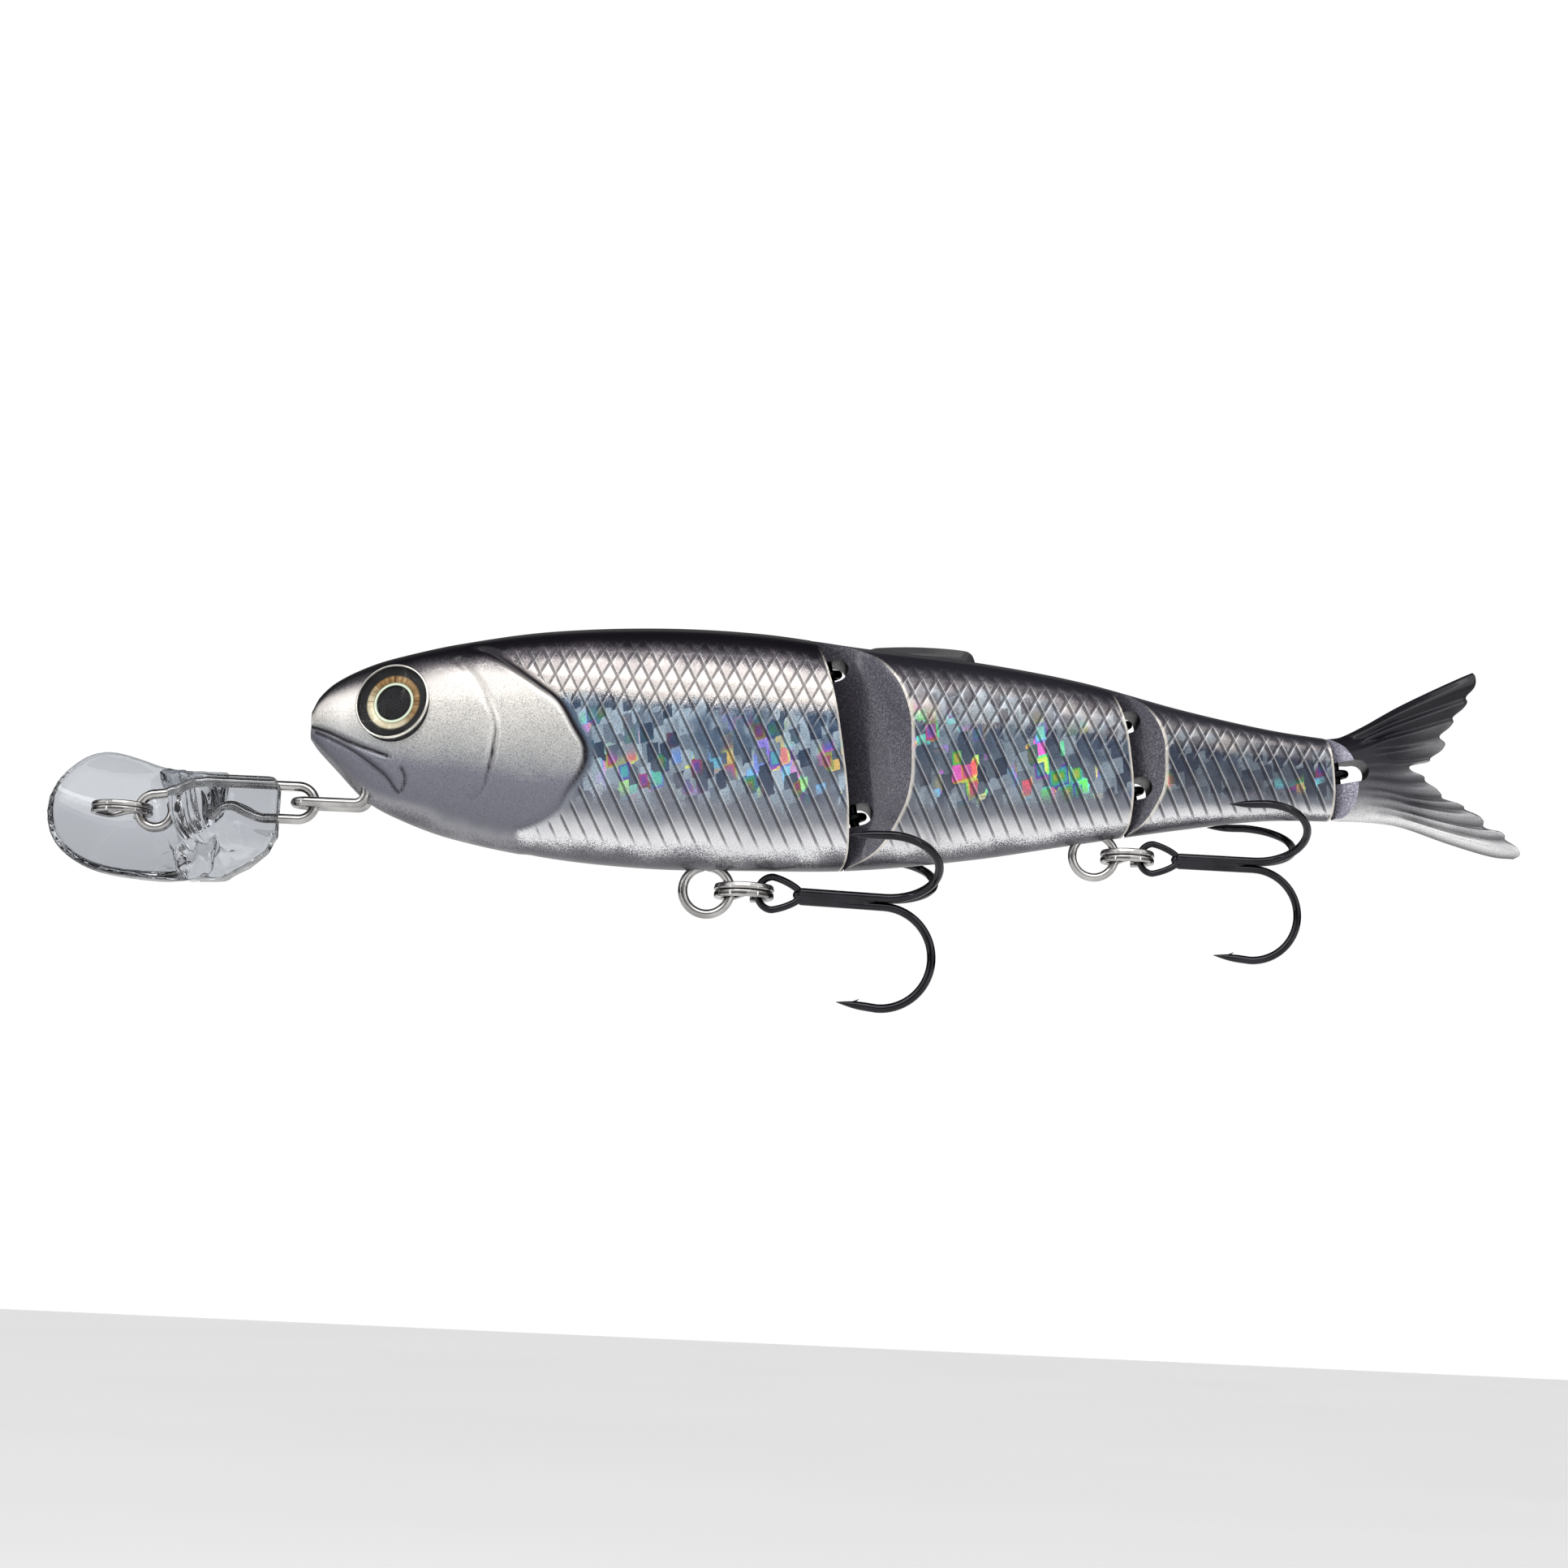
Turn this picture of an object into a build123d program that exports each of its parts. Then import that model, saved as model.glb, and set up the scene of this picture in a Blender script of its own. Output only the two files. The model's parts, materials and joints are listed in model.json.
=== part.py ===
"""Jointed swimbait: three body sections, a hinged tail fin, a linked diving lip and two treble hooks.

Frame: origin at the line-tie ring's centre, +X from the lip to the tail, +Y to the bait's right side,
+Z up through the back. All sizes are in millimetres.
"""
import math
import os
from build123d import *

# Overall size of the painted body
body_length = 166.0      # snout to the tail fin's lower tip
body_depth = 33.1        # deepest place, back to belly
body_width = 20.0        # widest place

# Where the body sits from the line tie
snout_x = 25.1
axis_z = 11.6            # height of the body's long axis

# Hinges between the sections
hinge_rake = 12.0        # the pins lean this much, top towards the head
fin_hinge_rake = 8.0
bevel_angle = 31.0       # each nose bevel from the long axis
pin_radius = 0.65
hinge_clearance = 0.10   # eye to pin, radial
hinge_wire_radius = 0.55
slot_height = 3.0
section_gap = 0.45       # nose to groove
front_nose_radius = 2.5
rear_nose_radius = 2.0
fin_nose_radius = 1.3
front_flare = 72.0       # each groove face from the long axis
rear_flare = 62.0
fin_flare = 72.0
eye_shank = 8.0

# Wire forms and rings
lip_wire_radius = 0.675
hanger_wire_radius = 0.65
hanger_inner_radius = 2.6
ring_mid_radius = 3.6
ring_band = 0.95         # split-ring section, radially
ring_height = 1.9        # two stacked coils
link_offset = 1.5        # hanger centre to the ring's near wire
tie_ring_mid_radius = 3.8
tie_ring_band = 0.8
tie_ring_height = 1.5
tie_loop_radius = 2.3    # line-tie loop, to the wire's centre

# Treble hooks
hook_wire_radius = 0.6
hook_eye_radius = 2.05   # to the wire's centre
hook_eye_wire = 0.5
hook_shank = 15.2
hook_bend_radius = 6.95
rear_scale = 0.9         # rear hardware against the front
front_droop = 1.5
rear_droop = 0.5

# Eyes, ballast and rattles
eye_radius = 4.9
iris_thickness = 0.8
lens_skirt = 0.6
lens_dome = 1.1
head_ballast_radius = 2.8
mid_ballast_radius = 2.0
rattle_radius = 2.0
rattle_play = 0.2

# Diving lip
lip_thickness = 2.2
dish_radius = 24.0
lip_roll = 27.0          # the dish's face looks this far above the left side
dish_depth = 5.0         # the dish's middle behind the wire

# Body stations: share of the length from the snout, top and bottom from the axis as shares of the
# depth, half width as a share of the width.
stations = [
    (0.000, 0.095, -0.025, 0.062),
    (0.006, 0.155, -0.065, 0.110),
    (0.020, 0.222, -0.136, 0.175),
    (0.048, 0.296, -0.269, 0.265),
    (0.078, 0.345, -0.344, 0.350),
    (0.120, 0.399, -0.411, 0.425),
    (0.192, 0.465, -0.471, 0.490),
    (0.283, 0.502, -0.498, 0.500),
    (0.367, 0.499, -0.488, 0.480),
    (0.451, 0.458, -0.468, 0.455),
    (0.548, 0.420, -0.402, 0.385),
    (0.632, 0.360, -0.320, 0.320),
    (0.716, 0.263, -0.240, 0.255),
    (0.789, 0.196, -0.184, 0.210),
    (0.850, 0.163, -0.172, 0.175),
]

# One section's outline, left half not listed: half width share, height share
egg = [(0.44, -0.88), (0.76, -0.55), (0.90, -0.28), (0.97, 0.05), (1.0, 0.38), (0.90, 0.70), (0.62, 0.92)]

# Tail fin outline: share of the body length, share of the depth from the axis
fin_upper = [(0.822, 0.150), (0.848, 0.178), (0.868, 0.230), (0.895, 0.314), (0.921, 0.387), (0.947, 0.453),
             (0.958, 0.480)]
fin_trailing = [(0.961, 0.466), (0.959, 0.402), (0.950, 0.314), (0.937, 0.221), (0.937, 0.172), (0.928, 0.106),
                (0.914, 0.085), (0.912, 0.048), (0.925, 0.018), (0.933, -0.036), (0.947, -0.073),
                (0.963, -0.110), (0.975, -0.172), (0.984, -0.187), (0.995, -0.233), (0.9995, -0.278)]
fin_lower = [(0.994, -0.296), (0.975, -0.290), (0.940, -0.246), (0.899, -0.184), (0.865, -0.166), (0.822, -0.170)]


def along(share):
    """X of a share of the body length, measured from the snout."""
    return snout_x + share * body_length


def height(share):
    """Z of a share of the body depth, measured from the long axis."""
    return axis_z + share * body_depth


def egg_face(x, top, bottom, half_width):
    """One cross-section of the body at x."""
    middle = (top + bottom) / 2
    half = (top - bottom) / 2
    right = [(x, w * half_width, middle + t * half) for w, t in egg]
    left = [(x, -w * half_width, middle + t * half) for w, t in reversed(egg)]
    outline = Spline([(x, 0, bottom)] + right + [(x, 0, top)] + left, periodic=True)
    return make_face(outline)


def lofted(rows):
    """A solid through sections given as x, top, bottom and half width."""
    return loft([egg_face(*row) for row in rows], ruled=True)


def slope(rows, index, column):
    """Slope of one column at a station, from its neighbours."""
    before = rows[max(index - 1, 0)]
    after = rows[min(index + 1, len(rows) - 1)]
    return (after[column] - before[column]) / (after[0] - before[0])


def smoothed(rows, steps):
    """Stations with smooth in-between ones added."""
    result = []
    for index in range(len(rows) - 1):
        near, far = rows[index], rows[index + 1]
        gap = far[0] - near[0]
        for step in range(steps):
            t = step / steps
            row = [near[0] + t * gap]
            for column in range(1, len(near)):
                row.append(
                    (2 * t ** 3 - 3 * t ** 2 + 1) * near[column] + (3 * t ** 2 - 2 * t ** 3) * far[column]
                    + (t ** 3 - 2 * t ** 2 + t) * gap * slope(rows, index, column)
                    + (t ** 3 - t ** 2) * gap * slope(rows, index + 1, column))
            result.append(tuple(row))
    return result + [rows[-1]]


def fish_body():
    """The whole painted body before it is cut into sections."""
    rows = [(along(s), height(top), height(low), w * body_width) for s, top, low, w in smoothed(stations, 2)]
    return lofted(rows)


def joint_frame(share, level, rake):
    """Frame on a hinge pin: Z along the pin, X towards the tail."""
    return Pos(along(share), 0, height(level)) * Rot(0, -rake, 0)


front_joint = joint_frame(0.4394, 0.0, hinge_rake)
rear_joint = joint_frame(0.6735, 0.012, hinge_rake)
fin_joint = joint_frame(0.8464, 0.003, fin_hinge_rake)


def nose_prism(radius, angle):
    """Round-nosed wedge that opens towards the tail, centred on the pin."""
    reach = body_length * 0.36
    tangent_x = -radius * math.sin(math.radians(angle))
    tangent_y = radius * math.cos(math.radians(angle))
    far_x = tangent_x + reach * math.cos(math.radians(angle))
    far_y = tangent_y + reach * math.sin(math.radians(angle))
    end_x = body_length * 0.8
    outline = Polyline(
        (tangent_x, tangent_y), (far_x, far_y), (end_x, far_y), (end_x, -far_y), (far_x, -far_y),
        (tangent_x, -tangent_y), close=True)
    face = make_face(outline) + Circle(radius)
    return extrude(face, amount=body_depth * 1.5, both=True)


def slot(level, back):
    """Obround slot through a nose, open to the front, that takes the hinge eye."""
    end = back - slot_height / 2
    front = front_nose_radius + 4
    box = Pos((end - front) / 2, 0, level) * Box(end + front, body_width * 2, slot_height)
    round_end = Pos(end, 0, level) * Rot(90, 0, 0) * Cylinder(slot_height / 2, body_width * 2)
    return box + round_end


def rod(start, end, radius):
    """Straight round bar between two points."""
    start = Vector(*start)
    end = Vector(*end)
    bar = Cylinder(radius, (end - start).length, align=(Align.CENTER, Align.CENTER, Align.MIN))
    return Plane(origin=start, z_dir=end - start) * bar


def swept_wire(edges, radius):
    """Round wire along a smooth path."""
    path = Wire(edges)
    start = Plane(origin=path @ 0, z_dir=path % 0)
    return sweep(start * Circle(radius), path=path)


# Levels of the eyes and slots along each pin
front_levels = (-0.257 * body_depth, 0.349 * body_depth)
rear_levels = (-0.103 * body_depth, 0.175 * body_depth)
fin_level = 0.018 * body_depth
slot_back = 2.5
fin_slot_back = 4.2


def hinge_eye(level):
    """Screw eye whose loop lies across the pin and whose shank runs forward."""
    mid_radius = pin_radius + hinge_clearance + hinge_wire_radius
    loop = Pos(0, 0, level) * Torus(mid_radius, hinge_wire_radius)
    shank = rod((-mid_radius, 0, level), (-mid_radius - eye_shank, 0, level), hinge_wire_radius)
    return loop + shank


def hinge_pin(low, high):
    """Straight pin between two levels."""
    return rod((0, 0, low), (0, 0, high), pin_radius)


def hanger(scale, shank):
    """Hook hanger: a ring in the XZ plane with a shank up into the belly."""
    wire = hanger_wire_radius * scale
    mid_radius = (hanger_inner_radius + hanger_wire_radius) * scale
    loop = Rot(90, 0, 0) * Torus(mid_radius, wire)
    return loop + rod((0, 0, mid_radius), (0, 0, mid_radius + shank), wire)


def split_ring(mid_radius, band, tall):
    """Flat double-coil ring in the XY plane with a small step where the coils start."""
    groove = tall * 0.09
    inner = mid_radius - band / 2
    outer = mid_radius + band / 2
    outline = Polyline(
        (inner, 0, -tall / 2), (outer, 0, -tall / 2), (outer, 0, -groove), (outer - band * 0.4, 0, 0),
        (outer, 0, groove), (outer, 0, tall / 2), (inner, 0, tall / 2), close=True)
    ring = revolve(make_face(outline), Axis.Z)
    step = Pos(0, mid_radius, tall / 2) * Rot(0, 0, 25) * Box(band, band * 3, tall * 0.3)
    return ring - step


def treble(scale):
    """Treble hook from the eye's centre: shank along +X, one hook down and two up and out."""
    wire = hook_wire_radius * scale
    spread = wire * 1.25
    shank = hook_shank * scale
    bend = hook_bend_radius * scale
    start = hook_eye_radius * scale * 1.12
    low = -spread - 2 * bend
    point_run = 3.6 * scale
    arc = ThreePointArc((shank, 0, -spread), (shank + bend, 0, -spread - bend), (shank, 0, low))
    tip = (shank - point_run, 0, low + 0.09 * point_run)
    hook = rod((start, 0, -spread), (shank, 0, -spread), wire) + swept_wire([arc], wire)
    hook += rod((shank, 0, low), tip, wire) + Pos(shank, 0, low) * Sphere(wire)
    taper = Cone(wire, wire * 0.12, 2.0 * scale, align=(Align.CENTER, Align.CENTER, Align.MIN))
    hook += Plane(origin=tip, z_dir=(-1, 0, 0.09)) * taper
    barb = Cone(wire * 1.5, wire * 0.6, 1.3 * scale, align=(Align.CENTER, Align.CENTER, Align.MIN))
    hook += Plane(origin=tip, z_dir=(-1, 0, 0.09)) * barb
    core = rod((start * 0.98, 0, 0), (shank * 0.99, 0, 0), wire * 1.9)
    eye = Rot(90, 0, 0) * Torus(hook_eye_radius * scale, hook_eye_wire * scale)
    return core + [eye, hook, Rot(120, 0, 0) * hook, Rot(240, 0, 0) * hook]


# Hardware places
tie_loop_x = tie_ring_mid_radius + 0.8
lip_loop_radius = 2.27
lip_loop_x = 23.95
link_z = 1.97
lip_rear_x = 21.4
front_hanger_place = (along(0.332), 0, height(-0.490) - 2.88)
rear_hanger_place = (along(0.6485), 0, height(-0.302) - 2.0)
eye_place = (along(0.0693), 0, height(0.118))
eye_normal = (-0.29, -0.944, 0.157)
socket_floor = body_width * 0.28


def link_places(place, scale):
    """Centres of the split ring and of its far wire, straight behind a hanger."""
    x, y, z = place
    ring_x = x + (link_offset + ring_mid_radius) * scale
    return (ring_x, y, z), (ring_x + ring_mid_radius * scale, y, z)


def lip_wire():
    """Wire form in the lip: line-tie loop in front, link loop behind, and a kinked tail."""
    low = link_z - lip_loop_radius
    top = link_z + lip_loop_radius
    kink = Spline((12.5, 0, -0.4), (15.2, 0, 1.1), (19.2, 0, low - 0.1), (lip_rear_x, 0, low),
                  tangents=[(0.6, 0, 0.8), (1, 0, 0)])
    lower = Line((lip_rear_x, 0, low), (lip_loop_x, 0, low))
    back = ThreePointArc((lip_loop_x, 0, low), (lip_loop_x + lip_loop_radius, 0, link_z), (lip_loop_x, 0, top))
    upper = Line((lip_loop_x, 0, top), (11.5, 0, top))
    down = Spline((11.5, 0, top), (tie_loop_x, 0, tie_loop_radius), tangents=[(-1, 0, 0), (-1, 0, 0)])
    ahead = ThreePointArc(
        (tie_loop_x, 0, tie_loop_radius), (tie_loop_x - tie_loop_radius, 0, 0), (tie_loop_x, 0, -tie_loop_radius))
    corner = tie_loop_radius * math.sin(math.pi / 4)
    close = ThreePointArc(
        (tie_loop_x, 0, -tie_loop_radius), (tie_loop_x + corner, 0, -corner), (tie_loop_x + tie_loop_radius, 0, 0))
    return swept_wire([kink, lower, back, upper, down, ahead, close], lip_wire_radius)


def lip_blade(wire):
    """Clear lip: a dished oval blade that runs back into a block around the wire."""
    outline = Spline(
        (-10.9, 0, 0.7), (-9.3, 0, 5.8), (-5.2, 0, 8.9), (0.4, 0, 8.3), (6.5, 0, 6.7), (15.9, 0, 5.5),
        (19.5, 0, 1.0), (17.6, 0, -6.2), (12.0, 0, -9.6), (3.0, 0, -9.6), (-5.5, 0, -7.6), (-9.6, 0, -3.9),
        periodic=True)
    prism = extrude(make_face(outline), amount=30, both=True)
    tilt = math.radians(lip_roll)
    dish = Plane(origin=(0, dish_depth, -0.3), x_dir=(1, 0, 0), z_dir=(0, -math.cos(tilt), math.sin(tilt)))
    shell = Pos(0, 0, dish_radius) * (Sphere(dish_radius + lip_thickness) - Sphere(dish_radius))
    blade = (dish * shell) & prism & Pos(-4.5, dish_depth, 0) * Box(36, 20, 40)
    side = make_face(Polyline(
        (5.0, 0, 5.3), (20.6, 0, 5.3), (lip_rear_x, 0, 4.4), (lip_rear_x, 0, -3.0), (19.0, 0, -5.2),
        (9.6, 0, -5.2), close=True))
    plan = make_face(Polyline(
        (4.0, -1.9), (20.6, -1.9), (lip_rear_x, -1.3), (lip_rear_x, 1.4), (15.0, 3.0), (6.5, 4.6), (4.0, 4.9),
        close=True))
    block = extrude(side, amount=20, both=True) & extrude(plan, amount=20, both=True)
    return blade + block - wire


def nose_eye():
    """Staple under the chin: a flat loop whose two legs turn up into the head."""
    half = 2.0
    bend = 1.5
    front_x = 25.6
    leg_x = along(0.0494)
    turn_x = leg_x - bend
    top = link_z + 8.0
    low = link_z
    rise = bend * math.sin(math.pi / 4)
    edges = [
        Line((leg_x, -half, top), (leg_x, -half, low + bend)),
        ThreePointArc((leg_x, -half, low + bend), (turn_x + rise, -half, low + bend - rise), (turn_x, -half, low)),
        Line((turn_x, -half, low), (front_x, -half, low)),
        ThreePointArc((front_x, -half, low), (front_x - half, 0, low), (front_x, half, low)),
        Line((front_x, half, low), (turn_x, half, low)),
        ThreePointArc((turn_x, half, low), (turn_x + rise, half, low + bend - rise), (leg_x, half, low + bend)),
        Line((leg_x, half, low + bend), (leg_x, half, top)),
    ]
    return swept_wire(edges, lip_wire_radius)


def eye_plane(side, reach):
    """Plane across one eye, reach from the body's middle; side is -1 for left, 1 for right."""
    x, _, z = eye_place
    nx, ny, nz = eye_normal
    normal = Vector(nx, -ny * side, nz)
    root = Vector(x, 0, z) - Vector(nx, 0, nz) * (body_width * 0.36)
    return Plane(origin=root + normal * reach, z_dir=normal)


def eye_disc(side, start, thick, radius):
    """Round disc on an eye's axis."""
    disc = Cylinder(radius, thick, align=(Align.CENTER, Align.CENTER, Align.MIN))
    return eye_plane(side, start) * disc


def eye_lens(side):
    """Domed lens over the iris."""
    base = socket_floor + iris_thickness
    ball = (eye_radius ** 2 + lens_dome ** 2) / (2 * lens_dome)
    plane = eye_plane(side, base)
    column = Cylinder(eye_radius, lens_skirt + lens_dome, align=(Align.CENTER, Align.CENTER, Align.MIN))
    dome = Pos(0, 0, lens_skirt + lens_dome - ball) * Sphere(ball)
    return plane * (column & dome)


def across(share, level, radius, half_length):
    """Round bar from side to side at a place in the body."""
    return Pos(along(share), 0, height(level)) * Rot(90, 0, 0) * Cylinder(radius, half_length * 2)


def dorsal_fin():
    """Low fin let into the back of the middle section."""
    crest = Spline(
        (along(0.4495), 0, height(0.425)), (along(0.470), 0, height(0.474)), (along(0.498), 0, height(0.482)),
        (along(0.530), 0, height(0.478)), (along(0.547), 0, height(0.405)))
    keel = Polyline(crest @ 1, (along(0.540), 0, height(0.36)), (along(0.462), 0, height(0.385)), crest @ 0)
    face = make_face([crest, keel])
    return extrude(face, amount=body_width * 0.045, both=True)


def tail_fin_body():
    """Forked fin on a rounded root, before its hinge nose is cut."""
    points = [(along(s), 0, height(t)) for s, t in fin_upper]
    trailing = [(along(s), 0, height(t)) for s, t in fin_trailing]
    lower = [(along(s), 0, height(t)) for s, t in fin_lower]
    outline = [Spline(points), Polyline([points[-1]] + trailing + [lower[0]]), Spline(lower),
               Line(lower[-1], points[0])]
    blade = extrude(make_face(outline), amount=body_width, both=True)
    plan = make_face(Polyline(
        (along(0.80), 1.7), (along(0.865), 1.7), (along(0.925), 0.9), (along(1.02), 0.6),
        (along(1.02), -0.6), (along(0.925), -0.9), (along(0.865), -1.7), (along(0.80), -1.7), close=True))
    blade &= extrude(plan, amount=body_depth * 2, both=True)
    root = lofted([
        (along(0.820), height(0.166), height(-0.172), 0.185 * body_width),
        (along(0.848), height(0.163), height(-0.172), 0.172 * body_width),
        (along(0.872), height(0.185), height(-0.170), 0.140 * body_width),
        (along(0.905), height(0.200), height(-0.170), 0.050 * body_width),
    ])
    return blade + root


def halves(section):
    """Left and right shells of a section, parted on the middle plane."""
    reach = body_length * 2
    left = section & Pos(0, -reach / 2, 0) * Box(reach * 2, reach, reach * 2)
    right = section & Pos(0, reach / 2, 0) * Box(reach * 2, reach, reach * 2)
    return left, right


def save(name, shape):
    """Write one named solid."""
    solids = shape.solids()
    largest = max(solids, key=lambda solid: solid.volume)
    if len(solids) > 1:
        print(name, "has", len(solids), "solids:", [round(solid.volume, 3) for solid in solids])
    largest.label = name
    export_step(largest, "parts/" + name + ".step")


def main():
    """Build every piece and write it."""
    os.makedirs("parts", exist_ok=True)
    pieces = {}

    # Lip
    pieces["lip_wire"] = lip_wire()
    pieces["lip_blade"] = lip_blade(pieces["lip_wire"])
    pieces["line_tie_ring"] = split_ring(tie_ring_mid_radius, tie_ring_band, tie_ring_height)

    # Hooks and their hangers
    front_ring, front_hook = link_places(front_hanger_place, 1.0)
    rear_ring, rear_hook = link_places(rear_hanger_place, rear_scale)
    pieces["front_hanger"] = Pos(*front_hanger_place) * hanger(1.0, 6.0)
    pieces["rear_hanger"] = Pos(*rear_hanger_place) * hanger(rear_scale, 2.6)
    pieces["front_split_ring"] = Pos(*front_ring) * split_ring(ring_mid_radius, ring_band, ring_height)
    pieces["rear_split_ring"] = Pos(*rear_ring) * split_ring(
        ring_mid_radius * rear_scale, ring_band * rear_scale, ring_height * rear_scale)
    eye_shift = 0.3
    pieces["front_treble_hook"] = Pos(*front_hook) * Rot(0, front_droop, 0) * Pos(eye_shift, 0, 0) * treble(1.0)
    pieces["rear_treble_hook"] = (
        Pos(*rear_hook) * Rot(0, rear_droop, 0) * Pos(eye_shift * rear_scale, 0, 0) * treble(rear_scale))

    # Hinges
    pieces["front_hinge_eye_lower"] = front_joint * hinge_eye(front_levels[0])
    pieces["front_hinge_eye_upper"] = front_joint * hinge_eye(front_levels[1])
    pieces["rear_hinge_eye_lower"] = rear_joint * hinge_eye(rear_levels[0])
    pieces["rear_hinge_eye_upper"] = rear_joint * hinge_eye(rear_levels[1])
    pieces["tail_eye"] = fin_joint * hinge_eye(fin_level)
    pieces["front_hinge_pin"] = front_joint * hinge_pin(-0.37 * body_depth, 0.43 * body_depth)
    pieces["rear_hinge_pin"] = rear_joint * hinge_pin(-0.23 * body_depth, 0.26 * body_depth)
    pieces["tail_pin"] = fin_joint * hinge_pin(-0.125 * body_depth, 0.135 * body_depth)
    pieces["nose_eye"] = nose_eye()

    # Insides
    pieces["head_ballast"] = across(0.2464, -0.242, head_ballast_radius, 2.8)
    pieces["mid_ballast"] = across(0.5476, -0.211, mid_ballast_radius, 2.0)
    chamber_radius = rattle_radius + rattle_play
    for name, share in (("rattle_ball_front", 0.192), ("rattle_ball_rear", 0.2946)):
        ball = Pos(along(share), 0, height(-0.235) - rattle_play) * Sphere(rattle_radius)
        pieces[name] = ball
    chambers = [across(share, -0.235, chamber_radius, 2.2) for share in (0.192, 0.2946)]

    # Eyes
    for name, side in (("left", -1), ("right", 1)):
        pieces["iris_" + name] = eye_disc(side, socket_floor, iris_thickness, eye_radius)
        pieces["eye_lens_" + name] = eye_lens(side)

    # Sections
    fish = fish_body()
    head_rear = front_joint * nose_prism(front_nose_radius + section_gap, front_flare)
    mid_front = front_joint * nose_prism(front_nose_radius, bevel_angle)
    mid_rear = rear_joint * nose_prism(rear_nose_radius + section_gap, rear_flare)
    tail_front = rear_joint * nose_prism(rear_nose_radius, bevel_angle)
    tail_rear = fin_joint * nose_prism(fin_nose_radius + section_gap, fin_flare)
    fin_front = fin_joint * nose_prism(fin_nose_radius, bevel_angle)

    head = fish - head_rear
    head -= lofted([
        (along(0.126), height(0.22), height(-0.04), 0.24 * body_width),
        (along(0.222), height(0.38), height(-0.08), 0.35 * body_width),
        (along(0.355), height(0.36), height(-0.08), 0.33 * body_width),
    ])
    for name in ("front_hanger", "nose_eye", "front_hinge_eye_lower", "front_hinge_eye_upper", "head_ballast"):
        head -= pieces[name]
    for chamber in chambers:
        head -= chamber
    for side in (-1, 1):
        head -= eye_disc(side, socket_floor, 8.0, eye_radius)

    mid = (fish & mid_front) - mid_rear
    mid -= lofted([
        (along(0.511), height(0.28), height(-0.06), 0.235 * body_width),
        (along(0.595), height(0.22), height(-0.05), 0.185 * body_width),
    ])
    pieces["dorsal_fin"] = dorsal_fin()
    for level in front_levels:
        mid -= front_joint * slot(level, slot_back)
    for name in ("front_hinge_pin", "rear_hanger", "rear_hinge_eye_lower", "rear_hinge_eye_upper", "mid_ballast",
                 "dorsal_fin"):
        mid -= pieces[name]

    tail = (fish & tail_front) - tail_rear
    for level in rear_levels:
        tail -= rear_joint * slot(level, slot_back)
    tail -= pieces["rear_hinge_pin"]
    tail -= pieces["tail_eye"]

    fin = tail_fin_body() & fin_front
    fin -= fin_joint * slot(fin_level, fin_slot_back)
    fin -= pieces["tail_pin"]
    pieces["tail_fin"] = fin

    for name, section in (("head", head), ("mid", mid), ("tail", tail)):
        left, right = halves(section)
        pieces[name + "_shell_left"] = left
        pieces[name + "_shell_right"] = right

    for name, shape in pieces.items():
        save(name, shape)


main()
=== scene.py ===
"""Looks for a jointed swimbait: painted body sections, sculpted fins, wire links, hooks and a clear lip."""

import json
import logging
import math
from dataclasses import dataclass, field
from enum import Enum
from typing import Any, Sequence

import bmesh
import bpy
import numpy as np
from mathutils import Matrix, Vector, noise
from mathutils.kdtree import KDTree

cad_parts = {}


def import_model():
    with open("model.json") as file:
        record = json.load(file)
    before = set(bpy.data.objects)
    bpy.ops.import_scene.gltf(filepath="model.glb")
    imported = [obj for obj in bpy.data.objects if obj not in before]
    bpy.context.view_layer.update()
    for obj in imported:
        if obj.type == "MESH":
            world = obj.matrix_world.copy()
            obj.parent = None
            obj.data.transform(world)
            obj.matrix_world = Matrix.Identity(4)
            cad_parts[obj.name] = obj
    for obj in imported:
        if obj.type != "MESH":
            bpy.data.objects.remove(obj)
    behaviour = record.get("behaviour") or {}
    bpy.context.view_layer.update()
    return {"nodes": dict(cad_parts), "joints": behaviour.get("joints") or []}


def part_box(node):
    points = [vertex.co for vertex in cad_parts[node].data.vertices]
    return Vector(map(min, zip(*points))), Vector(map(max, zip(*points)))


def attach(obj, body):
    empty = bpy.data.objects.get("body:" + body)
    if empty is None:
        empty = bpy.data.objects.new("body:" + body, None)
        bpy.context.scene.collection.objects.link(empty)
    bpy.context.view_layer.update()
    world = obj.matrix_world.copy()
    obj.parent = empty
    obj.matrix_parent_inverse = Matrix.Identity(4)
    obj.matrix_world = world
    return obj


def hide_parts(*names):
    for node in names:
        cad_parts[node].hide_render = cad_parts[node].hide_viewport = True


LOG = logging.getLogger("swimbait")
MM = 0.001  # metres in a millimetre
FAR = 1e9  # a distance beyond every piece

# Sizes in millimetres and angles in degrees.
SOLID_CREASE = 40.0  # edges sharper than this stay crisp
LOOP_RADIUS = 1.3  # hinge eyes, to the middle of the wire
LOOP_WIRE = 0.55  # half the hinge wire's thickness
REAR_SCALE = 0.9  # rear hook and ring against the front ones
FRONT_DROOP, REAR_DROOP = 1.5, 0.5  # how far each hook hangs below level
SCALE_PITCH, SCALE_SLOPE = 1.85, 62.0  # spacing and slant of the scale grooves
LINE_RING = (3.8, 0.8, 1.5)  # middle radius, band and height of the line's ring
HOOK_RING = (3.6, 0.95, 1.9)  # the same for the front hook's ring
Points = Sequence[tuple[float, ...]]
Stops = Sequence[tuple[float, tuple[float, ...]]]
Place = tuple[float, float, float]
Material = bpy.types.Material
Object = bpy.types.Object
Socket = bpy.types.NodeSocket


class Cut(Enum):
    """How a cutter changes a solid."""

    KEEP = "INTERSECT"
    REMOVE = "DIFFERENCE"


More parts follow.
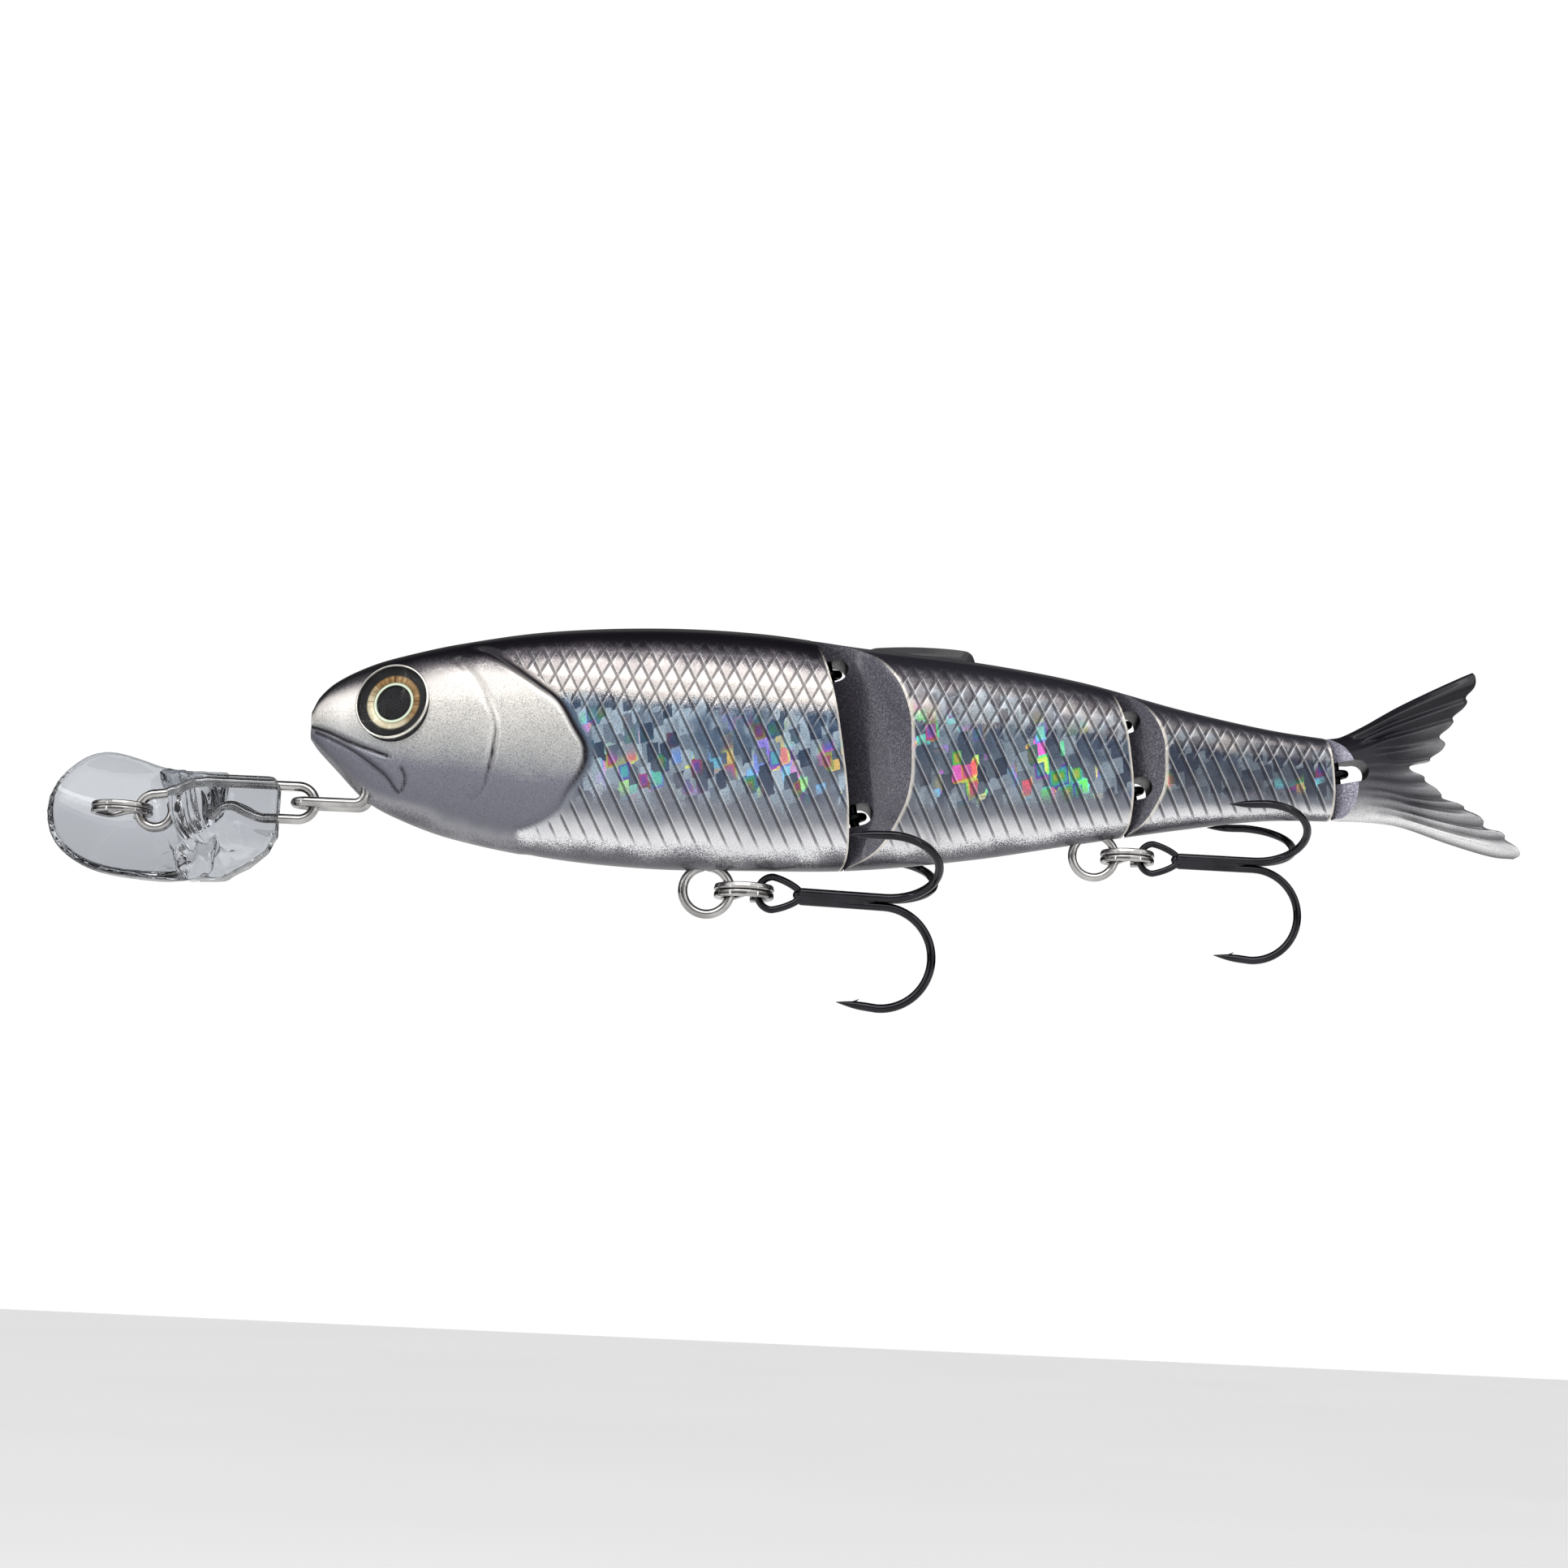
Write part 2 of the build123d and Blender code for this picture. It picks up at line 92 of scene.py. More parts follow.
def smooth_line(points: Points, samples: int, closed: bool = False) -> np.ndarray:
    """Catmull-Rom curve through points.

    Args:
        points: control points in order.
        samples: points made on each span.
        closed: whether the last point joins the first.

    Returns:
        The sampled points, one row each.
    """
    p = np.asarray(points, dtype=float)
    count = len(p) if closed else len(p) - 1
    rows = []
    for i in range(count):
        if closed:
            a, b, c, d = (p[(i + k) % len(p)] for k in (-1, 0, 1, 2))
        else:
            b, c = p[i], p[i + 1]
            a = p[i - 1] if i > 0 else 2 * b - c
            d = p[i + 2] if i + 2 < len(p) else 2 * c - b
        for step in range(samples):
            t = step / samples
            rows.append(
                0.5 * (2 * b + (c - a) * t + (2 * a - 5 * b + 4 * c - d) * t * t + (3 * b - a - 3 * c + d) * t**3)
            )
    if not closed:
        rows.append(p[-1])
    return np.array(rows)


def grid_faces(rows: int, columns: int, wrap: bool) -> list[tuple[int, ...]]:
    """Quads over a grid of vertices.

    Args:
        rows: rows of vertices.
        columns: vertices in each row.
        wrap: whether each row closes on itself.

    Returns:
        Faces as vertex indices.
    """
    last = columns if wrap else columns - 1
    faces = []
    for i in range(rows - 1):
        for j in range(last):
            k = (j + 1) % columns
            faces.append((i * columns + j, i * columns + k, (i + 1) * columns + k, (i + 1) * columns + j))
    return faces


def drum_faces(rows: int, columns: int) -> list[tuple[int, ...]]:
    """Faces of a closed drum: a wrapped grid with a cap on each end."""
    caps = [tuple(range(columns)), tuple(range((rows - 1) * columns, rows * columns))]
    return grid_faces(rows, columns, True) + caps


def fix_normals(mesh: bpy.types.Mesh) -> None:
    """Turn every face of a closed mesh outwards.

    Args:
        mesh: mesh to correct in place.
    """
    work = bmesh.new()
    work.from_mesh(mesh)
    bmesh.ops.remove_doubles(work, verts=work.verts, dist=MM / 10000)
    bmesh.ops.recalc_face_normals(work, faces=work.faces)
    work.to_mesh(mesh)
    work.free()


def linked(name: str, data: Any) -> Object:
    """Put a new object into the scene.

    Args:
        name: name of the object.
        data: its mesh, curve or light.

    Returns:
        The object.
    """
    made = bpy.data.objects.new(name, data)
    bpy.context.scene.collection.objects.link(made)
    return made


def painted(obj: Object, finish: Material) -> Object:
    """Give an object its one material."""
    obj.data.materials.append(finish)
    return obj


def solid(
    name: str, verts: np.ndarray, faces: Sequence[tuple[int, ...]], sharp: float = SOLID_CREASE
) -> Object:
    """Make a smooth-shaded object from millimetre vertices.

    Args:
        name: object name.
        verts: vertices in millimetres.
        faces: faces as vertex indices.
        sharp: edges steeper than this many degrees stay crisp.

    Returns:
        The new object, linked to the scene.
    """
    mesh = bpy.data.meshes.new(name)
    mesh.from_pydata((np.asarray(verts) * MM).tolist(), [], list(faces))
    mesh.validate()
    fix_normals(mesh)
    obj = linked(name, mesh)
    shade(obj, sharp)
    return obj


def shade(obj: Object, sharp: float) -> None:
    """Smooth shading with crisp edges above an angle in degrees."""
    obj.data.shade_smooth()
    obj.data.set_sharp_from_angle(angle=math.radians(sharp))


def baked(obj: Object) -> None:
    """Replace an object's mesh with its evaluated one and drop its modifiers.

    Args:
        obj: object with modifiers to apply.
    """
    graph = bpy.context.evaluated_depsgraph_get()
    mesh = bpy.data.meshes.new_from_object(obj.evaluated_get(graph))
    old = obj.data
    obj.modifiers.clear()
    obj.data = mesh
    mesh.name = obj.name
    bpy.data.meshes.remove(old)


def cut(obj: Object, cutter: Object, how: Cut) -> None:
    """Cut a solid with another and delete the cutter.

    Args:
        obj: the solid to change.
        cutter: the other solid, whose material goes onto the new faces.
        how: keep what they share, or remove it.
    """
    modifier = obj.modifiers.new("cut", "BOOLEAN")
    modifier.operation = how.value
    modifier.solver = "MANIFOLD"
    modifier.material_mode = "TRANSFER"
    modifier.object = cutter
    baked(obj)
    bpy.data.objects.remove(cutter)


def joined(name: str, parts: Sequence[Object]) -> Object:
    """Join loose objects into one mesh object.

    Args:
        name: name of the result.
        parts: objects to join; they are deleted.

    Returns:
        The joined object.
    """
    verts: list[tuple[float, ...]] = []
    faces: list[tuple[int, ...]] = []
    slots: list[int] = []
    materials: list[Material] = []
    for part in parts:
        base = len(verts)
        verts += [tuple(v.co) for v in part.data.vertices]
        places = []
        for material in part.data.materials:
            if material not in materials:
                materials.append(material)
            places.append(materials.index(material))
        for polygon in part.data.polygons:
            faces.append(tuple(base + k for k in polygon.vertices))
            slots.append(places[polygon.material_index] if places else 0)
        bpy.data.objects.remove(part)
    mesh = bpy.data.meshes.new(name)
    mesh.from_pydata(verts, [], faces)
    for material in materials:
        mesh.materials.append(material)
    mesh.polygons.foreach_set("material_index", slots)
    obj = linked(name, mesh)
    shade(obj, SOLID_CREASE)
    return obj


def tube(
    name: str, path: np.ndarray, radii: Sequence[float] | float, closed: bool = False, sides: int = 20
) -> Object:
    """Round wire along a path, with domed ends.

    Args:
        name: object name.
        path: points in millimetres.
        radii: one radius, or one for each point.
        closed: whether the wire is a ring.
        sides: vertices round the wire.

    Returns:
        The new object.
    """
    p = np.asarray(path, dtype=float)
    r = np.full(len(p), float(radii)) if np.isscalar(radii) else np.asarray(radii, dtype=float)
    if not closed:
        start, end = p[0] - p[1], p[-1] - p[-2]
        start /= np.linalg.norm(start)
        end /= np.linalg.norm(end)
        dome = [(0.45, 0.89), (0.8, 0.6), (0.97, 0.24)]
        p = np.vstack([
            [p[0] + start * r[0] * a for a, _ in reversed(dome)], p, [p[-1] + end * r[-1] * a for a, _ in dome]])
        r = np.concatenate([[r[0] * b for _, b in reversed(dome)], r, [r[-1] * b for _, b in dome]])
    count = len(p)
    ahead = np.roll(p, -1, axis=0) - np.roll(p, 1, axis=0)
    if not closed:
        ahead[0], ahead[-1] = p[1] - p[0], p[-1] - p[-2]
    ahead /= np.linalg.norm(ahead, axis=1)[:, None]
    side = np.cross(ahead[0], (0.3, 0.9, 0.2))
    side /= np.linalg.norm(side)
    angles = np.linspace(0, 2 * math.pi, sides, endpoint=False)
    rows = []
    for i in range(count):
        side = side - ahead[i] * np.dot(side, ahead[i])
        side /= np.linalg.norm(side)
        up = np.cross(ahead[i], side)
        rows.append(p[i] + r[i] * (np.cos(angles)[:, None] * side + np.sin(angles)[:, None] * up))
    verts = np.vstack(rows)
    faces = grid_faces(count, sides, True) if closed else drum_faces(count, sides)
    if closed:
        seam = np.linalg.norm(rows[0] - rows[-1][0], axis=1).argmin()
        for j in range(sides):
            a, b = (count - 1) * sides + j, (count - 1) * sides + (j + 1) % sides
            faces.append((a, b, (seam + j + 1) % sides, (seam + j) % sides))
    return solid(name, verts, faces, 60)


def arc(
    centre: tuple[float, float], radius: float, start: float, end: float, steps: int
) -> list[tuple[float, float]]:
    """Points on a circle arc, angles in degrees."""
    turns = np.radians(np.linspace(start, end, steps))
    return [(centre[0] + radius * math.cos(a), centre[1] + radius * math.sin(a)) for a in turns]


def floats(obj: Object, name: str, values: np.ndarray) -> None:
    """Store one number for each vertex."""
    layer = obj.data.attributes.new(name, "FLOAT", "POINT")
    layer.data.foreach_set("value", np.asarray(values, dtype=np.float32))


def co_mm(obj: Object) -> np.ndarray:
    """Vertex places in millimetres.

    Args:
        obj: mesh object.

    Returns:
        One row of x, y, z for each vertex.
    """
    out = np.empty(len(obj.data.vertices) * 3)
    obj.data.vertices.foreach_get("co", out)
    return out.reshape(-1, 3) / MM


class Graph:
    """Small helper for building a node tree."""

    def __init__(self, tree: bpy.types.NodeTree) -> None:
        """Wrap a node tree."""
        self.tree = tree

    def node(self, kind: str, **settings: Any) -> bpy.types.Node:
        """Add a node; capitalised names are sockets, with underscores for spaces, and the rest are properties.

        Args:
            kind: type name of the node.
            **settings: sockets and properties to set.

        Returns:
            The node.
        """
        made = self.tree.nodes.new(kind)
        for key, value in settings.items():
            if not key[0].isupper():
                setattr(made, key, value)
        self.drive(made, **{key: value for key, value in settings.items() if key[0].isupper()})
        return made

    def drive(self, node: bpy.types.Node, **values: Any) -> None:
        """Feed several sockets of a node, named with underscores for spaces."""
        for key, value in values.items():
            self.feed(node.inputs[key.replace("_", " ")], value)

    def feed(self, socket: Socket, value: Any) -> None:
        """Link an output to a socket, or set its number.

        Args:
            socket: input to fill.
            value: output socket, or a number or vector.
        """
        if isinstance(value, Socket):
            self.tree.links.new(value, socket)
        elif value is not None:
            socket.default_value = value

    def math(self, how: str, a: Any, b: Any = None, c: Any = None) -> Socket:
        """Add a Math node.

        Args:
            how: operation.
            a: first input.
            b: second input.
            c: third input.

        Returns:
            The result.
        """
        made = self.node("ShaderNodeMath", operation=how)
        for socket, value in zip(made.inputs, (a, b, c)):
            self.feed(socket, value)
        return made.outputs[0]

    def times(self, a: Any, b: Any) -> Socket:
        """Product of two numbers."""
        return self.math("MULTIPLY", a, b)

    def plus(self, a: Any, b: Any) -> Socket:
        """Sum of two numbers."""
        return self.math("ADD", a, b)

    def less(self, a: Any, b: Any) -> Socket:
        """First number less the second."""
        return self.math("SUBTRACT", a, b)

    def most(self, a: Any, b: Any) -> Socket:
        """Larger of two numbers."""
        return self.math("MAXIMUM", a, b)

    def parts(self, value: Any) -> bpy.types.NodeOutputs:
        """The three numbers of a vector."""
        return self.node("ShaderNodeSeparateXYZ", Vector=value).outputs

    def dimmed(self, colour: Any, share: Any) -> Socket:
        """A colour times one number."""
        grey = self.node("ShaderNodeCombineXYZ", X=share, Y=share, Z=share)
        return self.mix(1.0, colour, grey.outputs[0], "MULTIPLY")

    def ramp(self, value: Any, stops: Stops, smooth: bool = True) -> Socket:
        """Add a colour ramp through stops of place and colour.

        Args:
            value: number to look up.
            stops: places with their colours.
            smooth: ease between stops.

        Returns:
            The colour.
        """
        made = self.node("ShaderNodeValToRGB")
        made.color_ramp.interpolation = "EASE" if smooth else "LINEAR"
        points = made.color_ramp.elements
        while len(points) < len(stops):
            points.new(0.5)
        for point, (place, colour) in zip(points, stops):
            point.position = place
            point.color = (*colour, 1.0)
        self.feed(made.inputs[0], value)
        return made.outputs[0]

    def mix(self, factor: Any, a: Any, b: Any, how: str = "MIX") -> Socket:
        """Mix two colours.

        Args:
            factor: share of the second colour.
            a: first colour.
            b: second colour.
            how: blend mode.

        Returns:
            The colour.
        """
        made = self.node("ShaderNodeMix", data_type="RGBA", blend_type=how)
        self.feed(made.inputs[0], factor)
        for socket, value in ((made.inputs[6], a), (made.inputs[7], b)):
            if isinstance(value, tuple) and len(value) == 3:
                value = (*value, 1.0)
            self.feed(socket, value)
        return made.outputs[2]

    def between(
        self, value: Any, low: float, high: float, to_low: float = 0.0, to_high: float = 1.0
    ) -> Socket:
        """Map a number smoothly from one range to another.

        Args:
            value: number to map.
            low: start of its range.
            high: end of its range.
            to_low: result at the start.
            to_high: result at the end.

        Returns:
            The mapped number.
        """
        made = self.node("ShaderNodeMapRange", interpolation_type="SMOOTHSTEP")
        for socket, number in zip(made.inputs, (value, low, high, to_low, to_high)):
            self.feed(socket, number)
        return made.outputs[0]

    def place(self) -> Socket:
        """Object coordinates."""
        return self.node("ShaderNodeTexCoord").outputs["Object"]

    def attribute(self, name: str) -> Socket:
        """A stored number."""
        return self.node("ShaderNodeAttribute", attribute_name=name).outputs["Fac"]

    def noise(self, place: Any, scale: Any, detail: float = 3.0, roughness: float = 0.5) -> Socket:
        """Noise value at a place."""
        made = self.node("ShaderNodeTexNoise", Vector=place, Scale=scale, Detail=detail, Roughness=roughness)
        return made.outputs["Fac"]

    def bump(self, height: Any, strength: float, distance: float) -> Socket:
        """Bump from a height."""
        return self.node("ShaderNodeBump", Strength=strength, Distance=distance, Height=height).outputs[0]

    def group(self, tree: bpy.types.NodeTree, **inputs: Any) -> bpy.types.Node:
        """Add a shared group; input names use underscores for spaces."""
        return self.node("ShaderNodeGroup", node_tree=tree, **inputs)


def shared_group(name: str, inputs: Sequence[tuple[str, float]], outputs: Sequence[str]) -> tuple[Graph, Any, Any]:
    """Start a shader node group whose first input is a position.

    Args:
        name: group name.
        inputs: name and default of each number that goes in.
        outputs: name of each number that comes out.

    Returns:
        Its graph, and its input and output nodes.
    """
    tree = bpy.data.node_groups.new(name, "ShaderNodeTree")
    tree.interface.new_socket("Position", in_out="INPUT", socket_type="NodeSocketVector")
    for label, default in inputs:
        tree.interface.new_socket(label, in_out="INPUT", socket_type="NodeSocketFloat").default_value = default
    for label in outputs:
        tree.interface.new_socket(label, in_out="OUTPUT", socket_type="NodeSocketFloat")
    graph = Graph(tree)
    return graph, graph.node("NodeGroupInput"), graph.node("NodeGroupOutput")


def scale_lattice() -> bpy.types.NodeTree:
    """Group: two families of slanting grooves that bound the scales.

    Returns:
        The group, with one output for each family.
    """
    name = "Scale Lattice"
    if name in bpy.data.node_groups:
        return bpy.data.node_groups[name]
    graph, source, sink = shared_group(
        name, [("Pitch", SCALE_PITCH), ("Slope", SCALE_SLOPE), ("Groove Width", 0.3)],
        ["Back Slash", "Forward Slash"])
    split = graph.parts(source.outputs["Position"])
    x = graph.times(split[0], 1 / MM)
    z = graph.times(split[2], 1 / MM)
    angle = graph.math("RADIANS", source.outputs["Slope"])
    across = graph.times(x, graph.math("SINE", angle))
    rise = graph.times(z, graph.math("COSINE", angle))
    for how, label in (("ADD", "Back Slash"), ("SUBTRACT", "Forward Slash")):
        steps = graph.math("DIVIDE", graph.math(how, across, rise), source.outputs["Pitch"])
        share = graph.math("ABSOLUTE", graph.less(graph.math("FRACT", steps), 0.5))
        distance = graph.times(graph.less(0.5, share), source.outputs["Pitch"])
        line = graph.less(1.0, graph.math("DIVIDE", distance, source.outputs["Groove Width"]))
        graph.feed(sink.inputs[label], graph.most(line, 0.0))
    return graph.tree


def bevel_highlight() -> bpy.types.NodeTree:
    """Group: a thin painted highlight line where a nose bevel meets the flank, from the hinge's own place and angles.

    Returns:
        The group.
    """
    name = "Cut Edge"
    if name in bpy.data.node_groups:
        return bpy.data.node_groups[name]
    graph, source, sink = shared_group(
        name,
        [("Pin X", 0.0), ("Pin Z", 0.0), ("Rake", 12.0), ("Angle", 31.0), ("Radius", 2.5), ("Width", 0.4)], ["Line"])
    split = graph.parts(source.outputs["Position"])
    x = graph.less(graph.times(split[0], 1 / MM), source.outputs["Pin X"])
    z = graph.less(graph.times(split[2], 1 / MM), source.outputs["Pin Z"])
    y = graph.math("ABSOLUTE", graph.times(split[1], 1 / MM))
    rake = graph.math("RADIANS", source.outputs["Rake"])
    angle = graph.math("RADIANS", source.outputs["Angle"])
    local_x = graph.plus(graph.times(x, graph.math("COSINE", rake)), graph.times(z, graph.math("SINE", rake)))
    depth = graph.less(graph.times(y, graph.math("COSINE", angle)),
                       graph.times(local_x, graph.math("SINE", angle)))
    depth = graph.less(depth, source.outputs["Radius"])
    near = graph.less(1.0, graph.math("DIVIDE", graph.math("ABSOLUTE", depth), source.outputs["Width"]))
    graph.feed(sink.inputs["Line"], graph.most(near, 0.0))
    return graph.tree


def fine_grain() -> bpy.types.NodeTree:
    """Group: a fine speckle and a broad drift, for metallic paint and drawn wire.

    Returns:
        The group, with speckle and drift outputs.
    """
    name = "Fine Grain"
    if name in bpy.data.node_groups:
        return bpy.data.node_groups[name]
    graph, source, sink = shared_group(
        name, [("Fine Scale", 6000.0), ("Broad Scale", 90.0)], ["Speckle", "Drift"])
    for label, size, detail in (("Speckle", "Fine Scale", 2.0), ("Drift", "Broad Scale", 3.0)):
        graph.feed(sink.inputs[label], graph.noise(source.outputs["Position"], source.outputs[size], detail))
    return graph.tree


def grained(graph: Graph, place: Any, fine: float, broad: float) -> tuple[Socket, Socket]:
    """Speckle and drift at a place, from the shared grain group."""
    grain = graph.group(fine_grain(), Position=place, Fine_Scale=fine, Broad_Scale=broad)
    return grain.outputs["Speckle"], grain.outputs["Drift"]


def new_material(name: str, **uniform: Any) -> tuple[Material, Graph, bpy.types.Node]:
    """Start a Principled material with uniform values set on its sockets.

    Args:
        name: material name.
        uniform: socket values, names with underscores for spaces.

    Returns:
        The material, its graph and its Principled node.
    """
    material = bpy.data.materials.new(name)
    material.use_nodes = True
    shader = material.node_tree.nodes["Principled BSDF"]
    graph = Graph(material.node_tree)
    graph.drive(shader, **uniform)
    return material, graph, shader


@dataclass(frozen=True)
class WireFinish:
    """Drawn or plated wire."""

    name: str
    colour: Place
    roughness: float
    wear: float = 0.25
    coat: float = 0.0

    def build(self) -> Material:
        """Make the material.

        Returns:
            The wire material.
        """
        material, graph, shader = new_material(self.name, Metallic=1.0, Coat_Weight=self.coat, Coat_Roughness=0.04)
        speckle, drift = grained(graph, graph.place(), 5000.0, 300.0)
        dark = tuple(c * (1 - self.wear) for c in self.colour)
        light = tuple(min(1.0, c * (1 + self.wear)) for c in self.colour)
        shade_value = graph.between(drift, 0.3, 0.7)
        graph.feed(shader.inputs["Base Color"], graph.mix(shade_value, dark, light))
        rough = graph.between(speckle, 0.3, 0.7, self.roughness * 0.7, self.roughness * 1.4)
        graph.drive(shader, Roughness=rough, Normal=graph.bump(speckle, 0.12, 0.00003))
        return material


@dataclass(frozen=True)
class BodyPaint:
    """Foil and pearl paint over engraved scales, for one or more sections."""

    name: str
    edges: tuple[tuple[float, float, float, float, float], ...]
    glint: float
    foil_top: float = 0.68
    gloom: float = 0.0

    def lines(self, graph: Graph, place: Any, girth: Any, width: float) -> Socket:
        """Scale lines: both families of grooves high up, one of them low down.

        Args:
            graph: graph to build in.
            place: surface point.
            girth: height share at that point.
            width: width of the grooves.

        Returns:
            1 in a groove, 0 on a scale.
        """
        lattice = graph.group(
            scale_lattice(), Position=place, Pitch=SCALE_PITCH, Slope=SCALE_SLOPE, Groove_Width=width)
        high = graph.times(lattice.outputs["Forward Slash"], graph.between(girth, 0.05, 0.30))
        return graph.most(lattice.outputs["Back Slash"], high)

    def build(self) -> Material:
        """Make the material.

        Returns:
            The body material.
        """
        material, graph, shader = new_material(
            self.name, Coat_Weight=0.32, Coat_Roughness=0.05, Coat_IOR=1.4, Specular_IOR_Level=0.10)
        place = graph.place()
        girth = graph.attribute("girth")
        scales = graph.attribute("scales")
        gill = graph.attribute("gill")
        line = graph.attribute("line")
        speckle, drift = grained(graph, place, 7000.0, 120.0)
        wavy = graph.plus(girth, graph.between(drift, 0.2, 0.8, -0.05, 0.05))
        wavy = graph.plus(wavy, graph.between(speckle, 0.3, 0.7, -0.045, 0.045))
        level = graph.math("MULTIPLY_ADD", wavy, 0.5, 0.5)
        # Colour by height share, belly to back; the bright band a little above the belly's bottom is a painted
        # highlight.
        base = graph.ramp(level, [
            (0.00, (0.09, 0.09, 0.10)), (0.04, (0.17, 0.17, 0.19)), (0.075, (0.80, 0.80, 0.81)),
            (0.12, (0.60, 0.60, 0.62)), (0.18, (0.21, 0.22, 0.25)), (0.34, (0.15, 0.165, 0.20)),
            (0.47, (0.09, 0.13, 0.19)), (0.63, (0.11, 0.16, 0.24)), (0.68, (0.78, 0.72, 0.68)),
            (0.77, (0.74, 0.68, 0.65)), (0.845, (0.10, 0.085, 0.10)), (0.89, (0.007, 0.006, 0.009)),
        ], False)
        # Holographic foil: small cells, mostly steel blue, some split into a spectrum
        stretch = graph.node(
            "ShaderNodeMapping", Scale=(1.25, 0.0, 0.8), Rotation=(0.0, 0.22, 0.0), Vector=place)
        cells = graph.node(
            "ShaderNodeTexVoronoi", distance="CHEBYCHEV", Vector=stretch.outputs[0], Scale=560.0, Randomness=0.75)
        parts = graph.node("ShaderNodeSeparateColor", Color=cells.outputs["Color"])
        steel = graph.mix(graph.between(parts.outputs[1], 0.15, 0.95), (0.028, 0.048, 0.095), (0.46, 0.57, 0.66))
        below_top = graph.between(level, self.foil_top, self.foil_top - 0.03)
        foil_band = graph.times(graph.between(level, 0.20, 0.32), below_top)
        patches = graph.between(graph.noise(place, 150.0, 2.0), 0.34, 0.50)
        foil = graph.times(graph.times(foil_band, patches), scales)
        colour = graph.mix(graph.times(foil, 0.72), base, steel)
        hue = graph.math("FRACT", graph.plus(graph.times(parts.outputs[0], 1.7),
                                             graph.times(cells.outputs["Distance"], 0.9)))
        rainbow = graph.node("ShaderNodeCombineColor", mode="HSV")
        graph.feed(rainbow.inputs[0], hue)
        rainbow.inputs[1].default_value = 0.82
        graph.feed(rainbow.inputs[2], graph.between(parts.outputs[1], 0.0, 1.0, 0.35, 1.0))
        clusters = graph.between(graph.noise(place, 95.0, 2.0), 0.46, 0.54)
        lit = graph.times(graph.between(parts.outputs[2], 0.50, 0.62), clusters)
        low = graph.times(graph.between(level, 0.24, 0.36), graph.between(level, self.foil_top - 0.02, 0.46))
        glints = graph.times(graph.times(lit, low), graph.times(scales, self.glint))
        gloomy = graph.times(graph.between(level, 0.13, 0.34), self.gloom)
        colour = graph.mix(gloomy, colour, (0.035, 0.035, 0.045))
        colour = graph.mix(glints, colour, rainbow.outputs[0])
        # Satin gill plates
        plate = graph.ramp(level, [
            (0.00, (0.08, 0.08, 0.09)), (0.06, (0.30, 0.30, 0.32)), (0.10, (0.15, 0.15, 0.18)),
            (0.30, (0.17, 0.175, 0.21)), (0.45, (0.50, 0.50, 0.49)), (0.66, (0.92, 0.88, 0.83)),
            (0.77, (0.66, 0.62, 0.59)), (0.85, (0.09, 0.08, 0.09)),
            (0.89, (0.007, 0.006, 0.009)),
        ], False)
        colour = graph.mix(gill, colour, plate)
        # Scale lines: dark on the foil, paler high up
        groove = self.lines(graph, place, girth, 0.28)
        groove = graph.times(graph.between(groove, 0.15, 0.85), scales)
        shadow = graph.times(groove, graph.between(level, 0.15, 0.7, 0.72, 0.72))
        colour = graph.mix(shadow, colour, (0.03, 0.027, 0.038))
        beside = graph.node("ShaderNodeMapping", Vector=place, Location=(-0.34 * MM, 0.0, 0.0))
        lit_edge = self.lines(graph, beside.outputs[0], girth, 0.13)
        lit_edge = graph.times(graph.times(lit_edge, scales), graph.between(level, 0.90, 0.80, 0.0, 0.42))
        colour = graph.mix(lit_edge, colour, (0.78, 0.77, 0.76))
        speck = graph.between(speckle, 0.30, 0.70, 0.78, 1.16)
        colour = graph.dimmed(colour, speck)
        # Painted shade along the head's creases.
        colour = graph.mix(graph.between(line, 0.2, 0.9), colour, (0.012, 0.010, 0.014))
        # Painted highlight: a cream line along the edge of each hinge bevel and groove, fading out over the back.
        for pin_x, pin_z, rake, angle, radius in self.edges:
            edge = graph.group(bevel_highlight(), Position=place, Pin_X=pin_x, Pin_Z=pin_z, Rake=rake, Angle=angle,
                               Radius=radius, Width=0.42)
            keep = graph.between(edge.outputs["Line"], 0.1, 0.7, 0.0, 0.85)
            keep = graph.times(keep, graph.between(level, 0.97, 0.80))
            colour = graph.mix(keep, colour, (0.66, 0.62, 0.56))
        graph.feed(shader.inputs["Base Color"], colour)
        metallic = graph.between(level, 0.92, 0.74, 0.10, 0.60)
        graph.feed(shader.inputs["Metallic"], metallic)
        rough = graph.between(speckle, 0.3, 0.7, 0.26, 0.42)
        graph.feed(shader.inputs["Roughness"], rough)
        height = graph.plus(graph.times(groove, -1.0), graph.times(speck, 0.06))
        graph.feed(shader.inputs["Normal"], graph.bump(height, 0.9, 0.00014))
        return material


@dataclass(frozen=True)
class BevelPaint:
    """Metallic speckle on the faces that meet at a hinge."""

    name: str = "bevel paint"
    gain: float = 0.8
    coat: float = 0.5

    def gained(self, tone: tuple[float, ...]) -> tuple[float, ...]:
        """A colour times the paint's gain, at most 1."""
        return tuple(min(1.0, c * self.gain) for c in tone)

    def build(self) -> Material:
        """Make the material.

        Returns:
            The bevel material.
        """
        material, graph, shader = new_material(
            self.name, Metallic=0.6, Coat_Weight=self.coat, Coat_Roughness=0.12)
        place = graph.place()
        speckle, drift = grained(graph, place, 4500.0, 160.0)
        stops = (
            (0.30, (0.06, 0.055, 0.075)), (0.50, (0.12, 0.115, 0.14)), (0.66, (0.22, 0.21, 0.25)),
            (0.80, (0.46, 0.44, 0.48)))
        colour = graph.ramp(speckle, [(at, self.gained(tone)) for at, tone in stops])
        cloud = graph.between(drift, 0.35, 0.7, 0.0, 0.5)
        colour = graph.mix(cloud, colour, self.gained((0.09, 0.085, 0.11)))
        graph.drive(
            shader,
            Base_Color=colour,
            Roughness=graph.between(speckle, 0.3, 0.7, 0.3, 0.5),
            Normal=graph.bump(speckle, 0.2, 0.00006))
        return material


